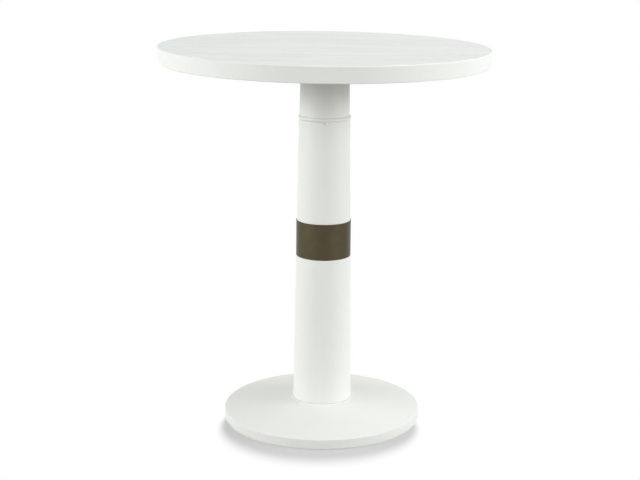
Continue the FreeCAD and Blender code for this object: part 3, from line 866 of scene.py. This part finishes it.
class PUBTABLE_OT_cleat(bpy.types.Operator):
    """Make the plywood block between column and top, with its recess, screw holes and dowel holes"""
    bl_idname = "pubtable.cleat"
    bl_label = "Cleat"

    def execute(self, context):
        size = context.scene.pub_table_sizes
        metal = context.scene.pub_table_hardware
        bottom, top = span("cleat")
        outer = reach("cleat")
        recess = high("rod_washers") - metal.washer_thickness
        cleat = turned("plywood_cleat", [
            corner(metal.rod_bore_radius, bottom), corner(outer - size.cleat_bevel, bottom),
            corner(outer, bottom + size.cleat_bevel), corner(outer, top),
            corner(metal.nut_recess_radius, top), corner(metal.nut_recess_radius, recess),
            corner(metal.rod_bore_radius, recess)], PLYWOOD)
        screw_circle = reach("cleat_screws") - metal.screw_head_radius
        cut(cleat, drilled(metal.screw_radius, bottom, top, CLEAT_SCREWS, screw_circle))
        cut(cleat, dowel_drills(metal.dowel_radius))
        dress(cleat, "birch_plywood", TABLE, "cleat")
        return {"FINISHED"}


class PUBTABLE_OT_cleat_screws(bpy.types.Operator):
    """Make the cross-recessed pan head screws that hold the cleat to the panel"""
    bl_idname = "pubtable.cleat_screws"
    bl_label = "Cleat screws"

    def execute(self, context):
        metal = context.scene.pub_table_hardware
        bottom = low("cleat_screws")
        head = metal.screw_head_radius
        seat = bottom + metal.screw_head_height
        face = 0.8 * head
        shoulder = seat - 0.3 * metal.screw_head_height
        pan = [corner(face, bottom, 0.25 * head), corner(head, shoulder, 0.1 * head), corner(head, seat)]
        screws = wood_screws(
            "cleat_screws_turned", "cleat_screws", pan, head, seat, PAN_DRIVER, CLEAT_SCREWS,
            CLEAT_SEED, metal)
        dress(screws, "zinc_steel", TABLE, "cleat_screws")
        return {"FINISHED"}


class PUBTABLE_OT_neck(bpy.types.Operator):
    """Turn the slimmer section under the top, with its tenon and its dowel holes"""
    bl_idname = "pubtable.neck"
    bl_label = "Neck"

    def execute(self, context):
        size = context.scene.pub_table_sizes
        metal = context.scene.pub_table_hardware
        bottom, top = span("neck")
        foot = high("bead_ring")
        neck = turned("neck_section", [
            *tenon(size, metal.rod_bore_radius, bottom, foot),
            corner(size.neck_foot_radius, foot, size.neck_foot_round),
            corner(size.neck_head_radius, top), corner(metal.rod_bore_radius, top)], COLUMN_LACQUER)
        cut(neck, dowel_drills(metal.dowel_radius))
        dress(neck, "painted_wood", TABLE, "neck")
        return {"FINISHED"}


class PUBTABLE_OT_bead(bpy.types.Operator):
    """Turn the thin half-round ring between neck and column"""
    bl_idname = "pubtable.bead"
    bl_label = "Bead"

    def execute(self, context):
        size = context.scene.pub_table_sizes
        bottom, top = span("bead_ring")
        edge = reach("bead_ring") - size.bead_bow
        bore = size.tenon_radius + FIT_GAP
        bead = turned("bead", [
            corner(bore, bottom), corner(edge, bottom, 0, size.bead_bow), corner(edge, top),
            corner(bore, top)], COLUMN_LACQUER)
        dress(bead, "painted_wood", TABLE, "bead_ring")
        return {"FINISHED"}


class PUBTABLE_OT_grub_screw(bpy.types.Operator):
    """Make the socket screw that locks the neck's tenon, lacquered with the column"""
    bl_idname = "pubtable.grub_screw"
    bl_label = "Grub screw"

    def execute(self, context):
        metal = context.scene.pub_table_hardware
        corner_low, corner_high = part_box("neck_grub_screw")
        run = corner_high.y - corner_low.y
        radius = width("neck_grub_screw") / 2
        start, end = 0.3 * radius, run - 0.2 * radius
        flat_point, head = 0.7 * radius, 0.8 * radius
        screw = turned("grub_screw", [
            corner(0, 0), corner(flat_point, 0), *shaft(radius, start, end, metal.grub_screw_pitch),
            corner(head, run), corner(0, run)], COLUMN_LACQUER, SCREW_SEGMENTS)
        screw = threaded(
            screw, metal.grub_screw_pitch, MACHINE_CORE * radius, start, end, COLUMN_LACQUER)
        cut(screw, prism("key", 6, metal.grub_screw_key, run - metal.grub_socket_depth, run + OVERRUN))
        moved(screw, inset_from_front(corner_high.y, (corner_low.z + corner_high.z) / 2))
        dress(screw, "lacquered_steel", TABLE, "neck_grub_screw")
        return {"FINISHED"}


class PUBTABLE_OT_upper_column(bpy.types.Operator):
    """Turn the column from the band to the bead, with a socket at each end and the screw's hole"""
    bl_idname = "pubtable.upper_column"
    bl_label = "Upper column"

    def execute(self, context):
        size = context.scene.pub_table_sizes
        bore = context.scene.pub_table_hardware.rod_bore_radius
        bottom, top = span("upper_column")
        foot = reach("upper_column")
        socket = size.tenon_radius + FIT_GAP
        depth = size.tenon_length + size.tenon_end_gap
        screw_height = sum(span("neck_grub_screw")) / 2
        screw_radius = width("neck_grub_screw") / 2 + FIT_GAP
        # a ring of points under the screw's hole keeps the long side's shading even
        ring_height = screw_height - 2.5 * screw_radius
        ring_share = (ring_height - bottom) / (top - bottom)
        ring_radius = foot + (size.column_head_radius - foot) * ring_share
        column = turned("upper_column_section", [
            corner(socket, bottom), corner(foot, bottom, size.joint_round),
            corner(ring_radius, ring_height),
            corner(size.column_head_radius, top, size.column_head_round), corner(socket, top),
            corner(socket, top - depth), corner(bore, top - depth), corner(bore, bottom + depth),
            corner(socket, bottom + depth)], COLUMN_LACQUER)
        hole = prism("hole", SCREW_SEGMENTS, 2 * screw_radius, 0, size.column_head_radius)
        cut(column, moved(hole, inset_from_front(-size.tenon_radius + OVERRUN, screw_height)))
        dress(column, "painted_wood", TABLE, "upper_column")
        return {"FINISHED"}


class PUBTABLE_OT_bronze_band(bpy.types.Operator):
    """Turn the straight bronze sleeve round the middle of the column"""
    bl_idname = "pubtable.bronze_band"
    bl_label = "Bronze band"

    def execute(self, context):
        size = context.scene.pub_table_sizes
        bottom, top = span("bronze_band")
        outer = reach("bronze_band")
        inner = outer - size.band_wall
        band = turned("bronze_sleeve", [
            corner(inner, bottom), corner(outer, bottom, size.band_round),
            corner(outer, top, size.band_round), corner(inner, top)], BRONZE)
        dress(band, "aged_bronze", TABLE, "bronze_band")
        return {"FINISHED"}


class PUBTABLE_OT_lower_column(bpy.types.Operator):
    """Turn the column from the base to the band, with a tenon below and a socket above"""
    bl_idname = "pubtable.lower_column"
    bl_label = "Lower column"

    def execute(self, context):
        size = context.scene.pub_table_sizes
        bore = context.scene.pub_table_hardware.rod_bore_radius
        bottom, top = span("lower_column")
        foot = high("base_disc")
        socket = size.tenon_radius + FIT_GAP
        depth = size.tenon_length + size.tenon_end_gap
        column = turned("lower_column_section", [
            *tenon(size, bore, bottom, foot), corner(size.column_foot_radius, foot, size.foot_round),
            corner(size.column_waist_radius, top, size.joint_round), corner(socket, top),
            corner(socket, top - depth), corner(bore, top - depth)], COLUMN_LACQUER)
        dress(column, "painted_wood", TABLE, "lower_column")
        return {"FINISHED"}


class PUBTABLE_OT_base(bpy.types.Operator):
    """Turn the domed base, recessed for its ballast, and bored for its screws and glides"""
    bl_idname = "pubtable.base"
    bl_label = "Base"

    def execute(self, context):
        size = context.scene.pub_table_sizes
        metal = context.scene.pub_table_hardware
        bottom, top = span("base_disc")
        crease = bottom + size.base_edge_height
        seat = size.column_foot_radius + size.seat_margin
        recess = reach("ballast_plate") + size.ballast_gap
        recess_top = high("ballast_plate")
        socket = size.tenon_radius + FIT_GAP
        socket_bottom = low("lower_column") - size.tenon_end_gap
        nut_recess = metal.nut_recess_radius
        nut_recess_top = low("rod_washers") + metal.washer_thickness
        bore = metal.rod_bore_radius
        base = turned("domed_base", [
            corner(recess, bottom), corner(size.base_radius, bottom, size.base_lower_round),
            corner(size.base_radius, crease, size.base_crease_round, size.dome_bow),
            corner(seat, top - size.seat_step), corner(seat, top, size.seat_round), corner(socket, top),
            corner(socket, socket_bottom), corner(bore, socket_bottom), corner(bore, nut_recess_top),
            corner(nut_recess, nut_recess_top), corner(nut_recess, recess_top),
            corner(recess, recess_top)], RING_LACQUER, TOP_SEGMENTS)
        screw_top = high("ballast_screws")
        screw_circle = reach("ballast_screws") - metal.sunk_head_radius
        cut(base, drilled(metal.screw_radius, recess_top, screw_top, BALLAST_SCREWS, screw_circle))
        pad = width("glide_pad_1") / 2 + metal.pad_recess_gap
        flange_top = low("glide_inserts") + metal.insert_flange
        insert_top = high("glide_inserts")
        stem_hole = metal.stem_radius + metal.stem_hole_gap
        stem_hole_top = high("glide_stem_1") + stem_hole / 8
        pocket = turned("glide_pocket", [
            corner(0, bottom - OVERRUN), corner(pad, bottom - OVERRUN), corner(pad, flange_top),
            corner(metal.insert_radius, flange_top), corner(metal.insert_radius, insert_top),
            corner(stem_hole, insert_top), corner(stem_hole, stem_hole_top), corner(0, stem_hole_top)],
            RING_LACQUER, HOLE_SEGMENTS)
        cut(base, ringed(
            "glide_pockets", pocket, len(GLIDES), middle("glide_pad_1").length, RING_LACQUER,
            start_angle=QUARTER_START))
        dress(base, "painted_wood", TABLE, "base_disc")
        return {"FINISHED"}


class PUBTABLE_OT_tie_rod(bpy.types.Operator):
    """Make the rod that clamps the column, threaded at both ends"""
    bl_idname = "pubtable.tie_rod"
    bl_label = "Tie rod"

    def execute(self, context):
        metal = context.scene.pub_table_hardware
        bottom, top = span("tie_rod")
        radius, pitch, run = metal.rod_radius, metal.rod_pitch, metal.rod_thread_length
        bevel = pitch / 2
        stretches = (bottom + bevel, bottom + run), (top - run, top - bevel)
        rod = turned("threaded_tie_rod", [
            corner(0, bottom), corner(radius - bevel, bottom),
            *shaft(radius, *stretches[0], pitch), *shaft(radius, *stretches[1], pitch),
            corner(radius - bevel, top), corner(0, top)], ZINC, HOLE_SEGMENTS)
        for start, end in stretches:
            rod = threaded(rod, pitch, MACHINE_CORE * radius, start, end, ZINC)
        dress(rod, "zinc_steel", TABLE, "tie_rod")
        return {"FINISHED"}


class PUBTABLE_OT_rod_nuts(bpy.types.Operator):
    """Make the two chamfered nuts of the tie rod"""
    bl_idname = "pubtable.rod_nuts"
    bl_label = "Rod nuts"

    def execute(self, context):
        metal = context.scene.pub_table_hardware
        tall = metal.nut_height
        bore = metal.rod_radius + FIT_GAP / 2
        # the chamfer leaves a round bearing face, as wide as the flats, and cuts only the nut's corners
        face = metal.nut_across_flats / 2
        past_corners = 1.2 * face
        chamfer = 0.1 * face
        nuts = []
        for bottom in (low("rod_nuts"), high("rod_nuts") - tall):
            top = bottom + tall
            blank = turned("nut_blank", [
                corner(bore, bottom), corner(face, bottom), corner(past_corners, bottom + chamfer),
                corner(past_corners, top - chamfer), corner(face, top), corner(bore, top)],
                ZINC, HOLE_SEGMENTS)
            hexagon = prism("hexagon", 6, metal.nut_across_flats, bottom - OVERRUN, top + OVERRUN)
            nuts.append(cut(blank, hexagon, operation="INTERSECT"))
        dress(joined("rod_nuts_chamfered", nuts), "zinc_steel", TABLE, "rod_nuts")
        return {"FINISHED"}


class PUBTABLE_OT_rod_washers(bpy.types.Operator):
    """Make the two wide washers under the rod's nuts"""
    bl_idname = "pubtable.rod_washers"
    bl_label = "Rod washers"

    def execute(self, context):
        metal = context.scene.pub_table_hardware
        outer = reach("rod_washers")
        inner = metal.rod_radius + FIT_GAP
        thick = metal.washer_thickness
        rounding = thick / 6
        washers = []
        for bottom in (low("rod_washers"), high("rod_washers") - thick):
            washers.append(turned("washer", [
                corner(inner, bottom), corner(outer, bottom, rounding),
                corner(outer, bottom + thick, rounding), corner(inner, bottom + thick)],
                ZINC, HOLE_SEGMENTS))
        dress(joined("rod_washers_rounded", washers), "zinc_steel", TABLE, "rod_washers")
        return {"FINISHED"}


class PUBTABLE_OT_ballast_screws(bpy.types.Operator):
    """Make the countersunk screws that hold the ballast plate up in the base"""
    bl_idname = "pubtable.ballast_screws"
    bl_label = "Ballast screws"

    def execute(self, context):
        metal = context.scene.pub_table_hardware
        bottom = low("ballast_screws")
        head = metal.sunk_head_radius
        edge = bottom + 0.1 * metal.sunk_head_height
        screws = wood_screws(
            "ballast_screws_sunk", "ballast_screws", [corner(head, bottom), corner(head, edge)], head,
            bottom + metal.sunk_head_height, SUNK_DRIVER, BALLAST_SCREWS, BALLAST_SEED, metal)
        dress(screws, "zinc_steel", TABLE, "ballast_screws")
        return {"FINISHED"}


class PUBTABLE_OT_glide_inserts(bpy.types.Operator):
    """Make the flanged, threaded inserts over the glides"""
    bl_idname = "pubtable.glide_inserts"
    bl_label = "Glide inserts"

    def execute(self, context):
        metal = context.scene.pub_table_hardware
        bottom, top = span("glide_inserts")
        flange = reach("glide_inserts") - middle("glide_pad_1").x
        flange_top = bottom + metal.insert_flange
        body = metal.insert_radius - FIT_GAP / 2
        bore = metal.stem_radius + FIT_GAP
        insert = turned("glide_insert", [
            corner(bore, bottom), corner(flange, bottom, metal.insert_flange / 4),
            corner(flange, flange_top), corner(body, flange_top), corner(body, top), corner(bore, top)],
            ZINC, HOLE_SEGMENTS)
        inserts = ringed(
            "glide_inserts_flanged", insert, len(GLIDES), middle("glide_pad_1").length, ZINC,
            start_angle=QUARTER_START)
        dress(inserts, "zinc_steel", TABLE, "glide_inserts")
        return {"FINISHED"}


class PUBTABLE_OT_glide_stems(bpy.types.Operator):
    """Make the glides' threaded stems, each with the hexagon that its pad is moulded round"""
    bl_idname = "pubtable.glide_stems"
    bl_label = "Glide stems"

    def execute(self, context):
        metal = context.scene.pub_table_hardware
        radius, pitch = metal.stem_radius, metal.stem_pitch
        bevel = pitch / 2
        for number in GLIDES:
            node = f"glide_stem_{number}"
            bottom, top = span(node)
            hexagon_top = bottom + metal.stem_hexagon_height
            hexagon = prism("hexagon", 6, metal.stem_across_flats - 2 * FIT_GAP, bottom, hexagon_top)
            hexagon.data.materials.append(bpy.data.materials[ZINC])
            start, end = hexagon_top + bevel, top - bevel
            stem = turned("stem", [
                corner(0, hexagon_top - OVERRUN), corner(radius - bevel, hexagon_top - OVERRUN),
                *shaft(radius, start, end, pitch), corner(radius - bevel, top), corner(0, top)],
                ZINC, SCREW_SEGMENTS)
            stem = threaded(stem, pitch, MACHINE_CORE * radius, start, end, ZINC)
            whole = joined(f"threaded_stem_{number}", [hexagon, stem])
            moved(whole, Matrix.Translation(middle(node)))
            dress(whole, "zinc_steel", f"glide_{number}", node)
        return {"FINISHED"}


class PUBTABLE_OT_glide_pads(bpy.types.Operator):
    """Make the moulded pads that the table stands on, fluted round their edges for the fingers"""
    bl_idname = "pubtable.glide_pads"
    bl_label = "Glide pads"

    def execute(self, context):
        metal = context.scene.pub_table_hardware
        for number in GLIDES:
            node = f"glide_pad_{number}"
            bottom, top = span(node)
            outer = width(node) / 2
            pad = turned(f"fluted_pad_{number}", [
                corner(0, bottom), corner(outer, bottom, metal.pad_round),
                corner(outer, top, metal.pad_round / 3), corner(0, top)], NYLON, 4 * metal.pad_flutes)
            flute = prism(
                "flute", FLUTE_SIDES, 2 * metal.flute_radius, bottom + metal.pad_round, top + OVERRUN)
            cut(pad, ringed("flutes", flute, metal.pad_flutes, outer + metal.flute_radius / 2, NYLON))
            stem_bottom = low(f"glide_stem_{number}")
            cut(pad, prism("hexagon", 6, metal.stem_across_flats, stem_bottom, top + OVERRUN))
            moved(pad, Matrix.Translation(middle(node)))
            dress(pad, "nylon", f"glide_{number}", node)
        return {"FINISHED"}


class PUBTABLE_OT_inner_pieces(bpy.types.Operator):
    """Finish the plain pieces that keep the shape they have in the frame"""
    bl_idname = "pubtable.inner_pieces"
    bl_label = "Inner pieces"

    def execute(self, context):
        for node, finish in (
                ("top_panel", CORE_BOARD), ("under_veneer", BACKING), ("neck_dowels", BEECH),
                ("band_core", BEECH), ("ballast_plate", POWDER_COAT)):
            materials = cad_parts[node].data.materials
            materials.clear()
            materials.append(bpy.data.materials[finish])
        return {"FINISHED"}


# Stage

def softbox(name, place, size, watts):
    """Rectangular soft lamp that faces the table."""
    lamp = bpy.data.lights.new(name, "AREA")
    lamp.shape = "RECTANGLE"
    lamp.size, lamp.size_y = size
    lamp.energy = watts
    box = bpy.data.objects.new(name, lamp)
    facing = (AIM - Vector(place)).to_track_quat("-Z", "Y").to_matrix().to_4x4()
    box.matrix_world = Matrix.Translation(place) @ facing
    bpy.context.scene.collection.objects.link(box)


def background_rays(tree):
    """Share that is one for camera, glossy and transmission rays, which see the backdrop as it looks."""
    rays = add(tree, "ShaderNodeLightPath").outputs
    seen = add(tree, "ShaderNodeMath", {
        0: rays["Is Camera Ray"], 1: rays["Is Glossy Ray"]}, operation="MAXIMUM")
    return add(tree, "ShaderNodeMath", {0: seen, 1: rays["Is Transmission Ray"]}, operation="MAXIMUM")


def studio_world(fill):
    """White backdrop, and an even light from all round."""
    world = bpy.data.worlds.new("Studio")
    world.use_nodes = True
    tree = world.node_tree
    tree.nodes.clear()
    light = add(tree, "ShaderNodeBackground", {"Color": (1, 1, 1, 1), "Strength": fill})
    white = add(tree, "ShaderNodeBackground", {"Color": (1, 1, 1, 1), "Strength": 1.0})
    both = add(tree, "ShaderNodeMixShader", {0: background_rays(tree), 1: light, 2: white})
    add(tree, "ShaderNodeOutputWorld", {"Surface": both})
    return world


def oval_reach(tree, place, middle_point, radii):
    """How far a place is from an oval's middle: one at its edge."""
    offset = add(tree, "ShaderNodeVectorMath", {0: place, 1: middle_point}, operation="SUBTRACT")
    scaled = add(tree, "ShaderNodeVectorMath", {0: offset, 1: radii}, operation="DIVIDE")
    return add(tree, "ShaderNodeVectorMath", {0: scaled}, operation="LENGTH")


def floor_finish(colour, bounce, base):
    """Pale matt paper: it takes the table's real shadow inside a painted shadow, a grey drawn between two
    ovals and lifted by painted white light, and runs out to the white of the backdrop.
    """
    finish = bpy.data.materials.new("Pale studio paper")
    finish.use_nodes = True
    tree = finish.node_tree
    tree.nodes.clear()
    place = add(tree, "ShaderNodeTexCoord").outputs["Object"]
    # painted shadow: two ovals mark where the seen paper is grey and where it has turned white
    core = oval_reach(tree, place, *PAINTED_SHADOW_CORE)
    past_core = add(tree, "ShaderNodeMath", {0: core, 1: 1}, operation="SUBTRACT")
    spread = add(tree, "ShaderNodeMath", {
        0: core, 1: oval_reach(tree, place, *PAINTED_SHADOW_END)}, operation="SUBTRACT")
    # near the middle the two ovals' reaches cross, and the border keeps a positive width there
    border = add(tree, "ShaderNodeMath", {0: spread, 1: LEAST_BORDER}, operation="MAXIMUM")
    along = add(tree, "ShaderNodeMath", {0: past_core, 1: border}, operation="DIVIDE")
    distance = add(tree, "ShaderNodeVectorMath", {0: place}, operation="LENGTH")
    # painted light: white mixed into the seen paper, more in the low gap under the base, lifts the shadow
    # there
    painted_light = add(tree, "ShaderNodeMapRange", {
        "Value": distance, "From Min": base + GAP_EDGES[0], "From Max": base + GAP_EDGES[1],
        "To Min": GAP_PAINTED_LIGHT, "To Max": PAPER_PAINTED_LIGHT})
    away = add(tree, "ShaderNodeMapRange", {
        "Value": along, "To Min": painted_light}, interpolation_type="SMOOTHSTEP")
    seen = background_rays(tree)
    shade = add(tree, "ShaderNodeMix", {0: seen, 6: rgba(bounce), 7: rgba(colour)}, data_type="RGBA")
    paper = add(tree, "ShaderNodeBsdfDiffuse", {"Color": shade})
    white = add(tree, "ShaderNodeEmission", {"Strength": 1.0})
    share = add(tree, "ShaderNodeMath", {0: away, 1: seen}, operation="MULTIPLY")
    front = add(tree, "ShaderNodeMixShader", {0: share, 1: paper, 2: white})
    # seen from below, the paper lets the camera look through
    behind = add(tree, "ShaderNodeNewGeometry").outputs["Backfacing"]
    clear = add(tree, "ShaderNodeBsdfTransparent")
    both = add(tree, "ShaderNodeMixShader", {0: behind, 1: front, 2: clear})
    add(tree, "ShaderNodeOutputMaterial", {"Surface": both})
    return finish


class PUBTABLE_OT_stage(bpy.types.Operator):
    """Set up the camera, the lamps, the floor and the white backdrop"""
    bl_idname = "pubtable.stage"
    bl_label = "Stage"

    def execute(self, context):
        stage = context.scene.pub_table_stage
        context.scene.view_settings.view_transform = "Standard"
        context.scene.world = studio_world(stage.fill)

        lens = bpy.data.cameras.new("Camera")
        lens.lens = stage.camera_lens
        lens.shift_x = stage.camera_shift
        camera = bpy.data.objects.new("Camera", lens)
        context.scene.collection.objects.link(camera)
        camera.matrix_world = (
            Matrix.Translation((0, -stage.camera_distance, stage.camera_height))
            @ Matrix.Rotation(-stage.camera_yaw, 4, "Z")
            @ Matrix.Rotation(math.pi / 2 - stage.camera_pitch, 4, "X")
            @ Matrix.Rotation(stage.camera_roll, 4, "Z"))
        context.scene.camera = camera

        softbox("Left softbox", (-6.69, -1.79, 2.33), SIDE_BOX, stage.left_power)
        softbox("Left front softbox", (-5.58, -3.49, 3.2), SIDE_BOX, stage.left_front_power)
        softbox("Right softbox", (6.35, -1.7, 3.2), SIDE_BOX, stage.right_power)
        softbox("Right front softbox", (5.87, -3.66, 2.33), SIDE_BOX, stage.right_front_power)
        softbox("Overhead softbox", (2.67, 0.46, 6.36), OVERHEAD_BOX, stage.overhead_power)

        paper = bpy.data.meshes.new("floor")
        half = FLOOR_SIZE / 2
        paper.from_pydata(
            [(-half, -half, 0), (half, -half, 0), (half, half, 0), (-half, half, 0)], [], [(0, 1, 2, 3)])
        paper.materials.append(floor_finish(stage.floor_shadow_paint, stage.floor_bounce, reach("base_disc")))
        linked("floor", paper)
        return {"FINISHED"}


PIECES = (
    PUBTABLE_OT_workshop, PUBTABLE_OT_oak_face, PUBTABLE_OT_edge_ring, PUBTABLE_OT_cleat,
    PUBTABLE_OT_cleat_screws, PUBTABLE_OT_neck, PUBTABLE_OT_bead, PUBTABLE_OT_grub_screw,
    PUBTABLE_OT_upper_column, PUBTABLE_OT_bronze_band, PUBTABLE_OT_lower_column, PUBTABLE_OT_base,
    PUBTABLE_OT_tie_rod, PUBTABLE_OT_rod_nuts, PUBTABLE_OT_rod_washers, PUBTABLE_OT_ballast_screws,
    PUBTABLE_OT_glide_inserts, PUBTABLE_OT_glide_stems, PUBTABLE_OT_glide_pads,
    PUBTABLE_OT_inner_pieces, PUBTABLE_OT_stage)
GROUPS = {
    "pub_table_sizes": PUBTABLE_PG_sizes, "pub_table_hardware": PUBTABLE_PG_hardware,
    "pub_table_finish": PUBTABLE_PG_finish, "pub_table_stage": PUBTABLE_PG_stage}


class PUBTABLE_PT_panel(bpy.types.Panel):
    """Lists the pieces of the table."""
    bl_idname = "PUBTABLE_PT_panel"
    bl_label = "Pub Table"
    bl_space_type = "VIEW_3D"
    bl_region_type = "UI"
    bl_category = "Pub Table"

    def draw(self, context):
        for piece in PIECES:
            self.layout.operator(piece.bl_idname)
        for group in GROUPS:
            settings = getattr(context.scene, group)
            column = self.layout.column()
            for setting in settings.bl_rna.properties:
                if setting.identifier not in ("rna_type", "name"):
                    column.prop(settings, setting.identifier)


CLASSES = (*GROUPS.values(), *PIECES, PUBTABLE_PT_panel)


def register():
    """Make the settings, operators and panel known to Blender."""
    for kind in CLASSES:
        bpy.utils.register_class(kind)
    for name, group in GROUPS.items():
        setattr(bpy.types.Scene, name, PointerProperty(type=group))


def unregister():
    """Take the settings, panel and operators away again."""
    for name in GROUPS:
        delattr(bpy.types.Scene, name)
    for kind in reversed(CLASSES):
        bpy.utils.unregister_class(kind)


def main():
    """Make the table and its stage."""
    register()
    for piece in PIECES:
        group, name = piece.bl_idname.split(".")
        getattr(getattr(bpy.ops, group), name)()


if __name__ == "__main__":
    main()
